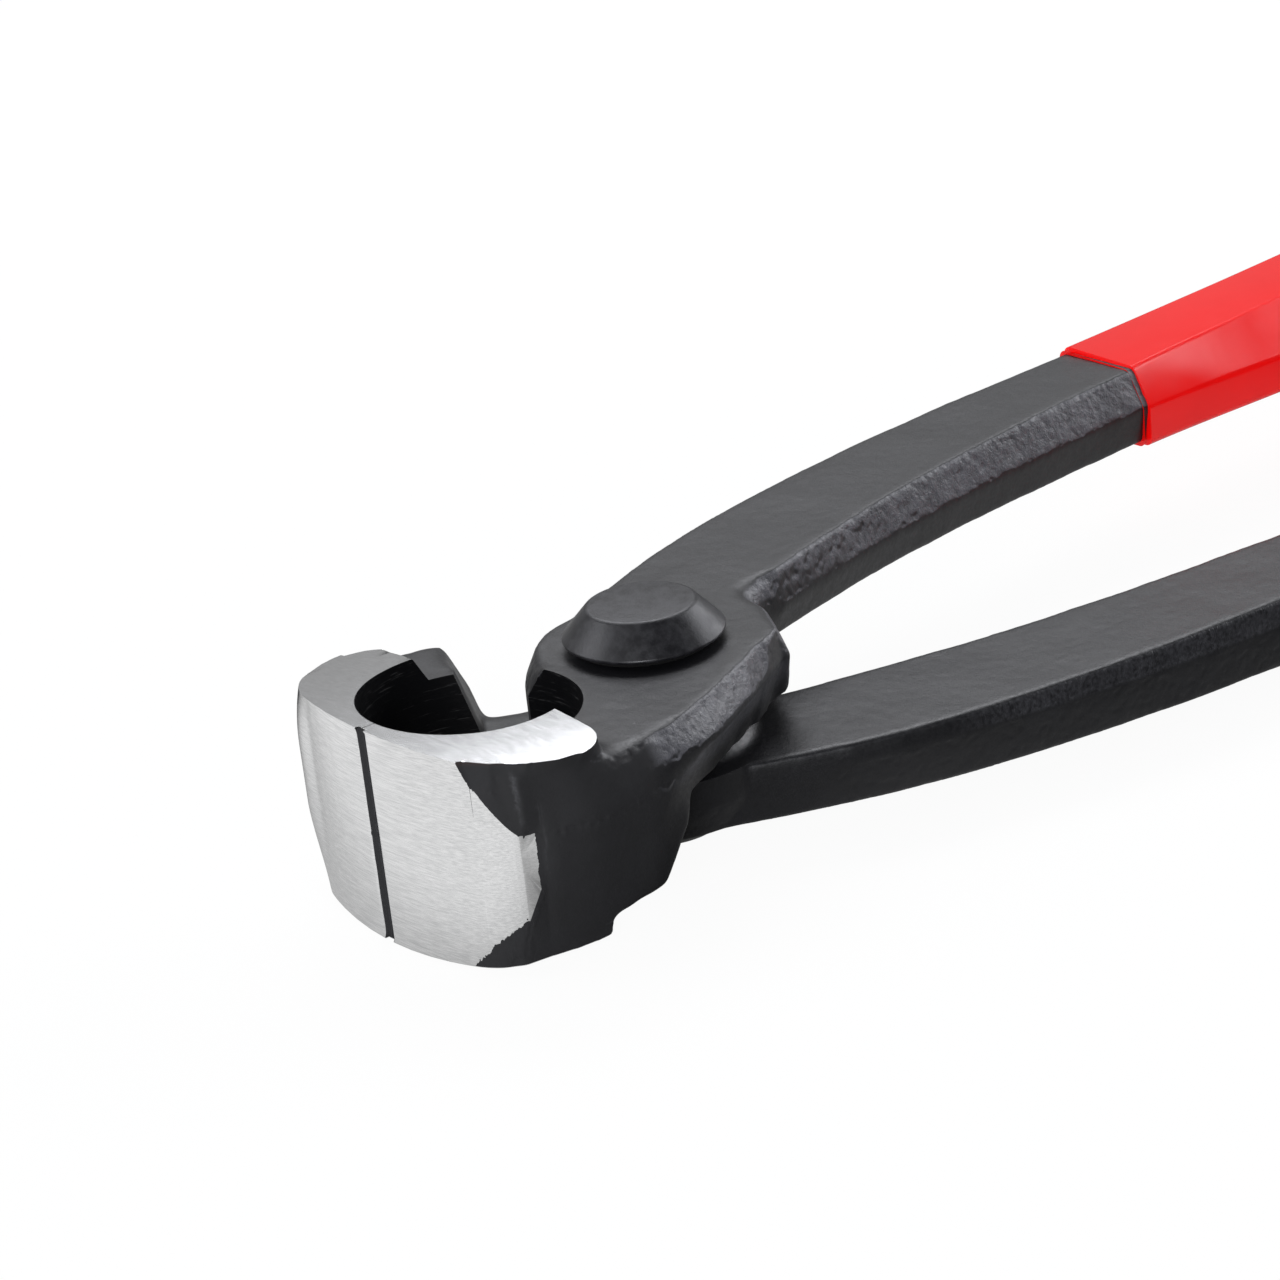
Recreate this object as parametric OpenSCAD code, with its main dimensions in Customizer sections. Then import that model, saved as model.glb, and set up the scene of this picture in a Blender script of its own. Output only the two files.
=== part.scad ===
/* [Overall] */
// Length over all, from the jaws' front face to the ends of the grip sleeves
overall_length = 220; // [200:1:260]

/* [Joint] */
// Thickness of one lever at the joint
plate_t = 8.4; // [7.5:0.1:9.5]
// Radius of the round boss about the rivet, at its parting line
boss_r = 12.2; // [11:0.1:13]
// Inset of the boss's bevel, at the lever's outer face
boss_bevel = 1.4; // [0.6:0.1:2]
// Free space between the boss of one lever and the jaw of the other
boss_room = 0.6; // [0.4:0.1:1]
// Gap between the sliding faces of the two levers
face_gap = 0.1; // [0.06:0.02:0.3]
// Height of the plate's parting line above the sliding face
plate_part_z = 5.2; // [4.2:0.1:6]

/* [Rivet] */
// Diameter of the shank
shank_d = 10; // [7:0.1:11.5]
// Radial play of the shank in the levers' holes
shank_play = 0.05; // [0.02:0.01:0.1]
// Diameter of the head at its rim
head_d = 16.3; // [14:0.1:18]
// Diameter of the head at its foot, where the rim is undercut
foot_d = 15.1; // [12:0.1:17]
// Diameter of the flat on top of the head
head_flat_d = 10.8; // [7:0.1:13]
// Height of the undercut rim of the head
rim_h = 1; // [0.6:0.1:1.6]
// Height of the whole upper head above the plate
head_h = 4.05; // [2.6:0.05:5]
// Height of the whole lower head, closed flatter than the upper one
low_head_h = 2.7; // [2.6:0.05:4]
// Air under a head
head_gap = 0.05; // [0.02:0.01:0.1]

/* [Jaws] */
// Distance from the pivot to the jaws' front face
jaw_reach = 33.5; // [32:0.1:36]
// Height of the raised jaw block
jaw_h = 21.9; // [20.5:0.1:26]
// Half the width over the jaws at their parting line
jaw_half_w = 20.6; // [20:0.1:22.5]
// Length of the raised jaw block, from the front face
raised_len = 14.9; // [13:0.1:16.5]
// Radius of the rounded rear corner of the raised block, on the plate's side
raised_corner_r = 3.7; // [2:0.1:5]
// Inset of that corner from the side of the jaw
raised_inset = 1.4; // [1:0.1:3]
// Radius of the same corner on the other side
under_corner_r = 4; // [2:0.1:5]
// Inset of that corner on the other side
under_inset = 2.4; // [1:0.1:3]
// Diameter of the round ear room between the jaws
ear_room_d = 21.4; // [19:0.1:22.5]
// Steel left between the ear room and the front face
lip_wall = 1.75; // [1.2:0.05:2.5]
// Gap between the lips at rest
lip_gap = 0.1; // [0.04:0.02:0.4]
// Width of the groove along the lips on the front face
groove_w = 1.34; // [0.8:0.02:2]
// Depth of that groove
groove_depth = 0.4; // [0.2:0.05:0.8]
// Radius of the ground front face, seen from above
front_r = 43; // [35:1:60]
// Half the width over which the front face keeps that radius
front_half_w = 12.3; // [10:0.1:13]
// Radius of the ground outer corner of the front face
front_corner_r = 7.6; // [6:0.1:8.5]
// Turn of that corner, in degrees, up to the narrow flat beside it
front_corner_turn = 58; // [50:1:65]
// Radius of the ground crown of the raised block, on the plate's side
crown_r = 182; // [120:1:300]
// Radius of the ground crown on the other side
under_crown_r = 135; // [110:1:300]
// Height of the jaw's parting line above the sliding face
jaw_part_z = 3.1; // [1:0.1:4]
// Share of the full draft at the front corner of the upper lever
upper_corner_draft = 1; // [0.4:0.05:1.1]
// The same share on the lower lever, whose corner stands more upright
lower_corner_draft = 0.5; // [0.4:0.05:1.1]
// Share of the full draft below the parting line at the side of the upper lever's jaw
upper_side_draft = 1; // [0.35:0.05:1.1]
// The same share on the lower lever, whose side stands more upright
lower_side_draft = 0.4; // [0.35:0.05:1.1]
// Height of the jaw behind the raised block below the sliding face, on the upper lever
upper_step_h = 8.4; // [7:0.1:9]
// The same height on the lower lever
lower_step_h = 7.9; // [7:0.1:9]
// Distance of the jaw's rear face from the pivot, at the sliding face
heel_x = 8.3; // [7:0.1:9.5]
// Slope of the jaw's rear face from upright, in degrees
heel_slope = 16; // [8:1:30]
// Turn of the jaw's rear face towards the ear room, in degrees
heel_turn = 33; // [15:1:40]

/* [Handles] */
// Thickness of a handle in its sleeve
handle_t = 8.2; // [7:0.1:8.3]
// Extra air between a handle and the other lever's side, at the joint
root_relief = 1.75; // [0.5:0.05:2.5]
// Half the spread over the handles where the sleeves begin
neck_half_w = 27.3; // [24:0.1:30]
// Width of a handle where the sleeve begins
neck_w = 12.5; // [10:0.1:14]
// Half the spread over the handles at their widest
grip_half_w = 32; // [28:0.1:36]
// Width of a handle at its widest
grip_w = 17; // [13:0.1:18]
// Bulge of the handle's outer side at its parting line
handle_bulge = 1.1; // [0.5:0.1:1.6]
// Softening of the handle's long edges
handle_soft = 0.25; // [0.1:0.05:0.6]
// Extra width of the inner bevel on the grip, over its width where the sleeve begins
grip_bevel = 5; // [0:0.5:6]
// Rounding of the handle's end
end_round = 4; // [2:0.1:5]
// Distance from the pivot at which the relief at the joint has run out
relief_end_x = 72; // [50:1:80]

/* [Grip sleeves] */
// Distance from the pivot to the mouth of a sleeve
sleeve_x = 81.6; // [70:0.1:95]
// Wall of a sleeve
sleeve_wall = 0.9; // [0.6:0.05:1.6]
// Thickness of a sleeve's closed end
sleeve_cap = 2.5; // [1.5:0.1:4]
// Gap between a handle and its sleeve
sleeve_gap = 0.05; // [0.02:0.01:0.1]

/* [Hidden] */
$fn = 96;

steel_black = [0.16, 0.16, 0.17];
rivet_black = [0.12, 0.12, 0.13];
sleeve_red = [0.85, 0.03, 0.03];

// The lower rivet head stands on z = 0, and the sliding faces meet at this height
mid_z = plate_t + head_gap + low_head_h;
slide_z = face_gap / 2;
half_jaw = jaw_h / 2;
span = 60;

ear_room_r = ear_room_d / 2;
ear_room_x = -jaw_reach + lip_wall + ear_room_r;
raised_x = -jaw_reach + raised_len;
heel_y = jaw_half_w - 3;

// Near side of the forging: distance from the pivot, parting line's y and z,
// inset at the plate's outer face, inset for each millimetre below the parting line
wall_rows = [
    [-jaw_reach - 4, -jaw_half_w + 8, jaw_part_z, 4.2, 0.38],
    [-jaw_reach + 2.5, -jaw_half_w + 5, jaw_part_z, 2, 0.1],
    [-jaw_reach + 4.3, -jaw_half_w + 4.06, jaw_part_z, 1.05, 0.05],
    [-jaw_reach + 7.1, -jaw_half_w + 2.65, jaw_part_z, 0.26, 0.11],
    [-jaw_reach + 9.1, -jaw_half_w + 1.75, jaw_part_z, 0.15, 0.135],
    [-jaw_reach + 11.5, -jaw_half_w + 0.6, jaw_part_z, 0.6, 0.195],
    [-jaw_reach + 13, -jaw_half_w, jaw_part_z, 1.2, 0.24],
    [raised_x + 0.6, -jaw_half_w + 0.5, plate_part_z, 1.1, 0.19],
    [-14.5, -19.6, plate_part_z, 1.1, 0.19],
    [-11, -19.3, plate_part_z, 1.6, 0.24],
    [-8.6, -18.7, plate_part_z, 2, 0.44],
    [-2.7, -16.3, plate_part_z, 2.3, 0.62],
    [1.7, -13.55, plate_part_z, 1.9, 0.5],
    [6, -10.9, plate_part_z, 1.3, 0.4],
    [10.2, -8.3, plate_part_z, 0.6, 0.26],
    [11.4, -8, plate_part_z, 0.5, 0.14],
    [14.5, -5.8, plate_part_z, 0.5, 0.3]
];

// Number of the first rows that lie at the ground front corner
corner_rows = 3;
// Number of rows up to the end of the jaw's side
side_rows = 6;
// Distance over which the grip's bevel widens
bevel_run = 38;

// Plate's rear end from above, from the near side to the handle, up to the parting line
plate_rear = [[10.6, -9.6], [15.8, -0.2], [17.1, 2.2], [19.6, 3.3]];

// The same end at the plate's outer face
plate_rear_top = [[9.1, -9.6], [14.1, -0.2], [15.9, 1.8], [18.5, 3.5]];

// Points inside the handle, where the plate's outline closes
handle_inside = [[0, 9], [15, 13]];

// Handle stations: distance from the pivot, outer edge, inner parting line
end_x = overall_length - jaw_reach - sleeve_cap;
grip_len = end_x - sleeve_x;
stations = [
    [-3, 10, -4.5],
    [16, 18.2, 1.9],
    [38, 23.4, 8.3],
    [60, 26.05, 12.4],
    [sleeve_x, neck_half_w, neck_half_w - neck_w],
    [sleeve_x + 0.24 * grip_len, 29.2, 14.8],
    [sleeve_x + 0.57 * grip_len, grip_half_w, grip_half_w - grip_w],
    [end_x, grip_half_w - 0.5, grip_half_w - grip_w]
];
handle_top = plate_t - 0.03;
handle_foot = plate_t - handle_t;
outer_part_z = handle_foot + 0.37 * handle_t;
inner_part_z = handle_foot + 0.52 * handle_t;
handle_steps = 40;
sleeve_steps = 26;

// Slope of a station column at row i, for a smooth curve through the rows
function slope(i, c) =
    let (a = max(i - 1, 0), b = min(i + 1, len(stations) - 1))
    (stations[b][c] - stations[a][c]) / (stations[b][0] - stations[a][0]);

// Row of the stations that begins the stretch holding x
function row(x, i = 0) = i >= len(stations) - 2 || x < stations[i + 1][0] ? i : row(x, i + 1);

// Value of a station column at x, on a cubic through the rows
function along(x, c) =
    let (
        i = row(x),
        h = stations[i + 1][0] - stations[i][0],
        t = (x - stations[i][0]) / h,
        t2 = t * t,
        t3 = t2 * t
    )
    (2 * t3 - 3 * t2 + 1) * stations[i][c] + (t3 - 2 * t2 + t) * h * slope(i, c)
    + (3 * t2 - 2 * t3) * stations[i + 1][c] + (t3 - t2) * h * slope(i + 1, c);

// Number held between 0 and 1
function unit(v) = min(max(v, 0), 1);

// Ring with each corner cut back by c along both of its edges
function soften(ring, c) =
    let (n = len(ring))
    [for (k = [0 : n - 1])
        let (p = ring[k], a = ring[(k + n - 1) % n] - p, b = ring[(k + 1) % n] - p)
        each [p + c * a / norm(a), p + c * b / norm(b)]];

// Handle's section at x, grown outwards by g and drawn in by s at an end
function section(x, g = 0, s = 0) =
    let (
        outer = along(x, 1) + g - s,
        inner = along(x, 2) - g + s,
        bulge = handle_bulge * unit((x + 3) / 15),
        foot = handle_foot - g + min(s, handle_t / 2 - 1) + root_relief * unit(1 - x / relief_end_x),
        top = handle_top + g - min(s, handle_t / 2 - 1)
    )
    soften([
        [x, outer, top],
        [x, outer + bulge, outer_part_z],
        [x, outer + 0.75 * bulge, foot],
        [x, inner + 0.65, foot],
        [x, inner, inner_part_z],
        [x, inner + 0.5 + 1.5 * unit(x / sleeve_x) + grip_bevel * unit((x - sleeve_x) / bevel_run), top]
    ], handle_soft + 0.6 * g);

// Rings of a rounded end that begins at x and is long enough to reach to stop
function end_rings(x, stop, g) =
    [for (a = [15 : 15 : 75])
        [for (p = section(x, g, end_round * (1 - cos(a))))
            [x + (stop - x) * sin(a) / sin(75), p[1], p[2]]]];

// Closed solid through rings of equal corner counts
module skin(rings) {
    n = len(rings[0]);
    last = len(rings) - 1;
    polyhedron(
        points = [for (r = rings) each r],
        faces = concat(
            [[for (k = [n - 1 : -1 : 0]) k]],
            [for (j = [0 : last - 1], k = [0 : n - 1])
                each [
                    [j * n + k, (j + 1) * n + (k + 1) % n, (j + 1) * n + k],
                    [j * n + k, j * n + (k + 1) % n, (j + 1) * n + (k + 1) % n]
                ]],
            [[for (k = [0 : n - 1]) last * n + k]]
        )
    );
}

// Handle from the given place to its rounded end
module handle(from, g = 0) {
    x1 = end_x - end_round;
    skin(concat(
        [for (j = [0 : handle_steps]) section(from + (x1 - from) * j / handle_steps, g)],
        end_rings(x1, end_x + g, g)
    ));
}

// Near side of the forging, drafted both ways from its parting line
module near_wall(corner_draft, side_draft) {
    skin([for (i = [0 : len(wall_rows) - 1])
        let (
            r = wall_rows[i],
            up = half_jaw + 1,
            share = i < corner_rows ? corner_draft : 1,
            inset_up = share * r[3] / (plate_t - r[2]),
            inset_down = (i >= corner_rows && i < side_rows ? side_draft : share) * r[4]
        )
        [
            [r[0], span / 2, up],
            [r[0], span / 2, -up],
            [r[0], r[1] + inset_down * (r[2] + up), -up],
            [r[0], r[1], r[2]],
            [r[0], r[1] + inset_up * (up - r[2]), up]
        ]]);
}

// Ground outline of the jaw from above: front arc, corner arc, narrow flat and the block behind them
module front_outline() {
    turn = asin(front_half_w / front_r);
    c = [-jaw_reach + front_r, 0];
    k = c + (front_r - front_corner_r) * [-cos(turn), -sin(turn)];
    edge = k + front_corner_r * [-cos(front_corner_turn), -sin(front_corner_turn)];
    intersection() {
        translate(c)
            circle(r = front_r, $fn = 180);
        translate([-jaw_reach - 1, -front_half_w])
            square([jaw_reach + 1 + span, front_half_w + span]);
    }
    translate(k)
        circle(r = front_corner_r);
    polygon([k, edge, edge + [1.9, -0.85], edge + [2.6, -span], [span, -span], [span, k[1]]]);
}

// Raised block from above, with its rear corner rounded to radius r at the given inset from the side
module raised_outline(r, inset) {
    corner = [raised_x - r, -jaw_half_w + inset + r];
    translate([-span, corner[1]])
        square([span + raised_x, -corner[1] - lip_gap / 2]);
    translate([-span, -span])
        square([span + corner[0], span + corner[1]]);
    translate(corner)
        circle(r = r);
}

// Crowned slab that sets the height of the raised block
module crown_slab() {
    intersection_for (crown = [[1, crown_r], [-1, under_crown_r]])
        translate([-span, 0, crown[0] * (half_jaw - crown[1])])
            rotate([0, 90, 0])
                cylinder(h = 2 * span, r = crown[1], $fn = 180);
}

// Raised jaw block before the ear room is bored
module raised_block() {
    intersection() {
        crown_slab();
        union() {
            linear_extrude(span)
                raised_outline(raised_corner_r, raised_inset);
            translate([0, 0, -span])
                linear_extrude(span)
                    raised_outline(under_corner_r, under_inset);
        }
    }
}

// Space that the jaw leaves below the sliding faces for the other lever
module jaw_clearance() {
    translate([0, 0, slide_z - span])
        cylinder(h = span, r = boss_r + boss_room);
    translate([-heel_x, -heel_y, slide_z])
        rotate([90, 0, heel_turn])
            linear_extrude(2 * span, center = true)
                polygon([[0, 0], [span, 0], [span, -span], [-span * tan(heel_slope), -span]]);
}

// Jaw behind the raised block, reaching down by the given height
module low_jaw(step_h) {
    translate([-span, -span, -step_h])
        cube([span, span - lip_gap / 2, plate_t + step_h]);
}

// Plate about the rivet, bevelled at its rear end and raised off the other lever beside the handle
module plate() {
    foot = handle_foot + root_relief;
    start_x = ear_room_x / 2;
    translate([0, 0, slide_z])
        linear_extrude(foot)
            polygon([
                [start_x, 0],
                [start_x, -span],
                [plate_rear[0][0], -span],
                plate_rear[0],
                plate_rear[1]
            ]);
    skin([for (level = [[foot, plate_rear], [plate_part_z, plate_rear], [plate_t, plate_rear_top]])
        [for (p = concat(
            handle_inside,
            [for (k = [len(plate_rear) - 1 : -1 : 0]) level[1][k]],
            [[level[1][0][0], -span], [start_x, -span], [start_x, 0]]
        )) [p[0], p[1], level[0]]]]);
}

// Round boss about the rivet
module boss() {
    translate([0, 0, slide_z])
        cylinder(h = plate_part_z - slide_z, r = boss_r);
    translate([0, 0, plate_part_z])
        cylinder(h = plate_t - plate_part_z, r1 = boss_r, r2 = boss_r - boss_bevel);
}

// One forging: near-side jaw, plate above the sliding face and far-side handle
module lever(corner_draft, side_draft, step_h) {
    difference() {
        union() {
            difference() {
                intersection() {
                    near_wall(corner_draft, side_draft);
                    translate([0, 0, -span / 2])
                        linear_extrude(span)
                            front_outline();
                    union() {
                        raised_block();
                        low_jaw(step_h);
                        plate();
                        boss();
                    }
                }
                jaw_clearance();
            }
            handle(stations[0][0]);
        }
        translate([ear_room_x, 0, -span / 2])
            cylinder(h = span, r = ear_room_r);
        translate([0, 0, -span / 2])
            cylinder(h = span, d = shank_d + 2 * shank_play);
        translate([-jaw_reach - 1, -groove_w / 2, -span / 2])
            cube([groove_depth + 1, groove_w, span]);
    }
}

// Sleeve on a handle: thin skin, closed and rounded at the end
module sleeve() {
    x1 = end_x - end_round;
    g = sleeve_wall + sleeve_gap;
    difference() {
        skin(concat(
            [for (j = [0 : sleeve_steps]) section(sleeve_x + (x1 - sleeve_x) * j / sleeve_steps, g)],
            end_rings(x1, end_x + sleeve_cap, g)
        ));
        handle(sleeve_x - 5, sleeve_gap);
    }
}

// Places a piece drawn about the sliding plane on the standing plane
module raised_to_mid() {
    translate([0, 0, mid_z])
        children();
}

module upper_lever() {
    color(steel_black)
        raised_to_mid()
            lever(upper_corner_draft, upper_side_draft, upper_step_h);
}

module lower_lever() {
    color(steel_black)
        raised_to_mid()
            rotate([180, 0, 0])
                lever(lower_corner_draft, lower_side_draft, lower_step_h);
}

// Rivet head of height h on the upper plate
module head(h) {
    translate([0, 0, plate_t + head_gap]) {
        cylinder(h = rim_h, d1 = foot_d, d2 = head_d);
        translate([0, 0, rim_h])
            cylinder(h = h - rim_h, d1 = head_d, d2 = head_flat_d);
    }
}

module rivet() {
    color(rivet_black)
        raised_to_mid() {
            cylinder(h = 2 * plate_t + 2 * head_gap + rim_h, d = shank_d, center = true);
            head(head_h);
            rotate([180, 0, 0])
                head(low_head_h);
        }
}

module upper_grip_sleeve() {
    color(sleeve_red)
        raised_to_mid()
            sleeve();
}

module lower_grip_sleeve() {
    color(sleeve_red)
        raised_to_mid()
            rotate([180, 0, 0])
                sleeve();
}

upper_lever();
lower_lever();
rivet();
upper_grip_sleeve();
lower_grip_sleeve();
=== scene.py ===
import logging
import math
from collections.abc import Sequence
from dataclasses import dataclass
from enum import Enum
from functools import partial, reduce

import bmesh
import bpy
import numpy as np
from mathutils import Matrix, Vector, noise
from mathutils.kdtree import KDTree


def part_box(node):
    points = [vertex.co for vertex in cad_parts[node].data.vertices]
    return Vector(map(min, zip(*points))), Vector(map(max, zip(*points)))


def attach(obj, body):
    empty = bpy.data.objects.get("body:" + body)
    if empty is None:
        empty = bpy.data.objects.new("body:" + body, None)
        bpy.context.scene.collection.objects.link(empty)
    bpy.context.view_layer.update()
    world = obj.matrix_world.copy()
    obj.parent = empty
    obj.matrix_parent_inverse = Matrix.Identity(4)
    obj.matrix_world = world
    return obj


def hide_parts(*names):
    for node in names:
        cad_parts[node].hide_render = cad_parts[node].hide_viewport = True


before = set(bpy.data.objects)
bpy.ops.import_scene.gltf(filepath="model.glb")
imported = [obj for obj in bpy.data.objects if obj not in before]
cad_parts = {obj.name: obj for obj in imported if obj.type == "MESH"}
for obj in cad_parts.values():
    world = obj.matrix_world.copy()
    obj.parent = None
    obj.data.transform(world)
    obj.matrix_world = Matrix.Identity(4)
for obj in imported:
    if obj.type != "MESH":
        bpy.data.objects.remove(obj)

logging.basicConfig(level=logging.INFO, format="%(levelname)s %(message)s")
LOG = logging.getLogger("ear_clamp_pliers")

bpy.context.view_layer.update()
MM = 0.001
TINY = 1e-9
WHITE = (1, 1, 1, 1)
# Attribute of a mesh that says how far its edges are rubbed and carry a painted highlight
EDGE_WEAR_AND_SHEEN = "edge_wear_and_sheen"
# Thickness of each lever's joint plate, in millimetres
PLATE_T = 8.4
# Height of the sliding faces in millimetres, half way between the two levers
MID_Z = (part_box("upper_lever")[1].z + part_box("lower_lever")[0].z) / 2 / MM

Colour = tuple[float, float, float, float]
Socket = bpy.types.NodeSocket
Loop = list[bmesh.types.BMVert]


def ramp(value: np.ndarray, low: float, high: float) -> np.ndarray:
    """Returns 0 to 1 as the value goes from low to high."""
    return np.clip((value - low) / (high - low), 0, 1)


def smooth(share: np.ndarray) -> np.ndarray:
    """Returns a share from 0 to 1 eased at both ends."""
    return share * share * (3 - 2 * share)


def add_object(name: str, data: bpy.types.ID) -> bpy.types.Object:
    """Puts a new object in the scene.

    Args:
        name: Name of the object.
        data: Mesh, lamp or camera that it shows.

    Returns:
        The object.
    """
    made = bpy.data.objects.new(name, data)
    bpy.context.scene.collection.objects.link(made)
    return made


def to_mesh(name: str, shape: bmesh.types.BMesh) -> bpy.types.Mesh:
    """Turns a finished shape into a mesh.

    Args:
        name: Name of the mesh.
        shape: Shape, which is freed.

    Returns:
        The mesh.
    """
    mesh = bpy.data.meshes.new(name)
    shape.to_mesh(mesh)
    shape.free()
    return mesh


class Side(Enum):
    """Which of the two equal forgings a piece belongs to."""

    UPPER = "upper"
    LOWER = "lower"

    @property
    def body(self) -> str:
        """CAD body that the side's pieces ride on."""
        return f"{self.value}_lever"

    @property
    def turn(self) -> float:
        """Turn of the forging about its length, in radians."""
        return math.pi if self is Side.LOWER else 0.0

    def to_row(self) -> Matrix:
        """Returns the matrix from the forging's millimetres to the row frame."""
        lift = Matrix.Translation((0, 0, MID_Z * MM))
        return lift @ Matrix.Rotation(self.turn, 4, "X") @ Matrix.Scale(MM, 4)


@dataclass(frozen=True)
class Grain:
    """Noise of a finish, with lengths in millimetres."""

    size: float
    detail: float = 3.0
    rough: float = 0.6
    run: tuple[float, float, float] | None = None
    depth: float = 0.0


class Desk:
    """Adds and links the nodes of one node tree."""

    def __init__(self, tree: bpy.types.NodeTree) -> None:
        """Starts from an emptied tree.

        Args:
            tree: Node tree of a material or of the world.
        """
        self.tree = tree
        tree.nodes.clear()

    def put(self, kind: str, values: dict | None = None, **settings: object) -> bpy.types.Node:
        """Adds one node.

        Args:
            kind: Node type's identifier.
            values: Inputs by name or number, as values or as sockets to link.
            **settings: Properties of the node.

        Returns:
            The node.
        """
        node = self.tree.nodes.new(kind)
        for name, value in settings.items():
            setattr(node, name, value)
        for key, value in (values or {}).items():
            if isinstance(value, Socket):
                self.tree.links.new(value, node.inputs[key])
            else:
                node.inputs[key].default_value = value
        return node

    def math(self, operation: str, *terms: Socket | float) -> Socket:
        """Returns the result of a Math node on one to three terms."""
        return self.put("ShaderNodeMath", dict(enumerate(terms)), operation=operation).outputs[0]

    def times(self, *terms: Socket | float) -> Socket:
        """Returns the product of all the terms."""
        return reduce(partial(self.math, "MULTIPLY"), terms)

    def less(self, a: Socket, b: float) -> Socket:
        """Returns 1 where a is below b."""
        return self.math("LESS_THAN", a, b)

    def more(self, a: Socket, b: float) -> Socket:
        """Returns 1 where a is above b."""
        return self.math("GREATER_THAN", a, b)

    def split(self, where: Socket) -> Sequence[Socket]:
        """Returns a vector by axis."""
        return self.put("ShaderNodeSeparateXYZ", {0: where}).outputs

    def vector(self, operation: str, a: Socket, b: Socket | Sequence[float]) -> bpy.types.Node:
        """Returns a Vector Math node on two vectors."""
        return self.put("ShaderNodeVectorMath", {0: a, 1: b}, operation=operation)

    def ease(self, value: Socket, low: float, high: float) -> Socket:
        """Takes a value to a share that is eased at both ends.

        Args:
            value: Value to take.
            low: Value that gives 0.
            high: Value that gives 1.

        Returns:
            The share.
        """
        node = self.put(
            "ShaderNodeMapRange",
            {"Value": value, "From Min": low, "From Max": high},
            interpolation_type="SMOOTHSTEP",
        )
        return node.outputs["Result"]

    def scale(self, value: Socket, to: tuple[float, float], low: float = 0.3, high: float = 0.7) -> Socket:
        """Moves a value from one span to another.

        Args:
            value: Value to move.
            to: Start and end of the other span.
            low: Start of its own span, by default that of most noise.
            high: End of its own span.

        Returns:
            The moved value, held within the other span.
        """
        node = self.put(
            "ShaderNodeMapRange",
            {"Value": value, "From Min": low, "From Max": high, "To Min": to[0], "To Max": to[1]},
        )
        return node.outputs["Result"]

    def grain(self, where: Socket, kind: Grain) -> Socket:
        """Makes noise.

        Args:
            where: Coordinates in millimetres.
            kind: Size, layers and direction of the noise.

        Returns:
            The noise, from 0 to 1.
        """
        drawn = where if kind.run is None else self.stretch(where, kind.run)
        node = self.put(
            "ShaderNodeTexNoise",
            {"Vector": drawn, "Scale": 1 / kind.size, "Detail": kind.detail, "Roughness": kind.rough},
        )
        return node.outputs["Fac"]

    def stretch(self, where: Socket, by: Sequence[float]) -> Socket:
        """Returns coordinates scaled on each axis."""
        return self.vector("MULTIPLY", where, by).outputs[0]

    def blend(self, share: Socket | float, a: Socket | Colour, b: Socket | Colour) -> Socket:
        """Returns colour a turned to colour b by the share."""
        node = self.put("ShaderNodeMix", {0: share, 6: a, 7: b}, data_type="RGBA")
        return node.outputs[2]

    def lerp(self, share: Socket | float, a: Socket | float, b: Socket | float) -> Socket:
        """Returns number a turned to number b by the share."""
        node = self.put("ShaderNodeMix", {0: share, 2: a, 3: b}, data_type="FLOAT")
        return node.outputs[0]

    def object_mm(self, side: Side) -> Socket:
        """Finds the Object coordinates in a forging's frame.

        Args:
            side: Which forging it is.

        Returns:
            The coordinates in millimetres.
        """
        where = self.put("ShaderNodeTexCoord").outputs["Object"]
        lift = MID_Z if side is Side.LOWER else -MID_Z
        node = self.put(
            "ShaderNodeMapping",
            {
                "Vector": where,
                "Location": (0, 0, lift),
                "Rotation": (side.turn, 0, 0),
                "Scale": (1 / MM,) * 3,
            },
        )
        return node.outputs["Vector"]

    def bump(
        self, height: Socket, depth: float, strength: Socket | float, under: Socket | None = None
    ) -> Socket:
        """Bumps a normal by a height.

        Args:
            height: Height from 0 to 1.
            depth: Height's size in millimetres.
            strength: Share of the effect.
            under: Normal that it builds on, if not the surface's own.

        Returns:
            The bumped normal.
        """
        values = {"Height": height, "Distance": depth * MM, "Strength": strength}
        if under is not None:
            values["Normal"] = under
        return self.put("ShaderNodeBump", values).outputs["Normal"]

    def surface(self, shader: bpy.types.Node) -> None:
        """Sends a shader to the material's output."""
        self.put("ShaderNodeOutputMaterial", {"Surface": shader.outputs[0]})

    def principled(self, values: dict) -> None:
        """Makes a Principled shader with the given inputs the material's surface."""
        self.surface(self.put("ShaderNodeBsdfPrincipled", values))


def new_material(name: str) -> tuple[bpy.types.Material, Desk]:
    """Makes an empty node material.

    Args:
        name: Name of the material.

    Returns:
        The material and the desk of its nodes.
    """
    made = bpy.data.materials.new(name)
    made.use_nodes = True
    return made, Desk(made.node_tree)


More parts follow.
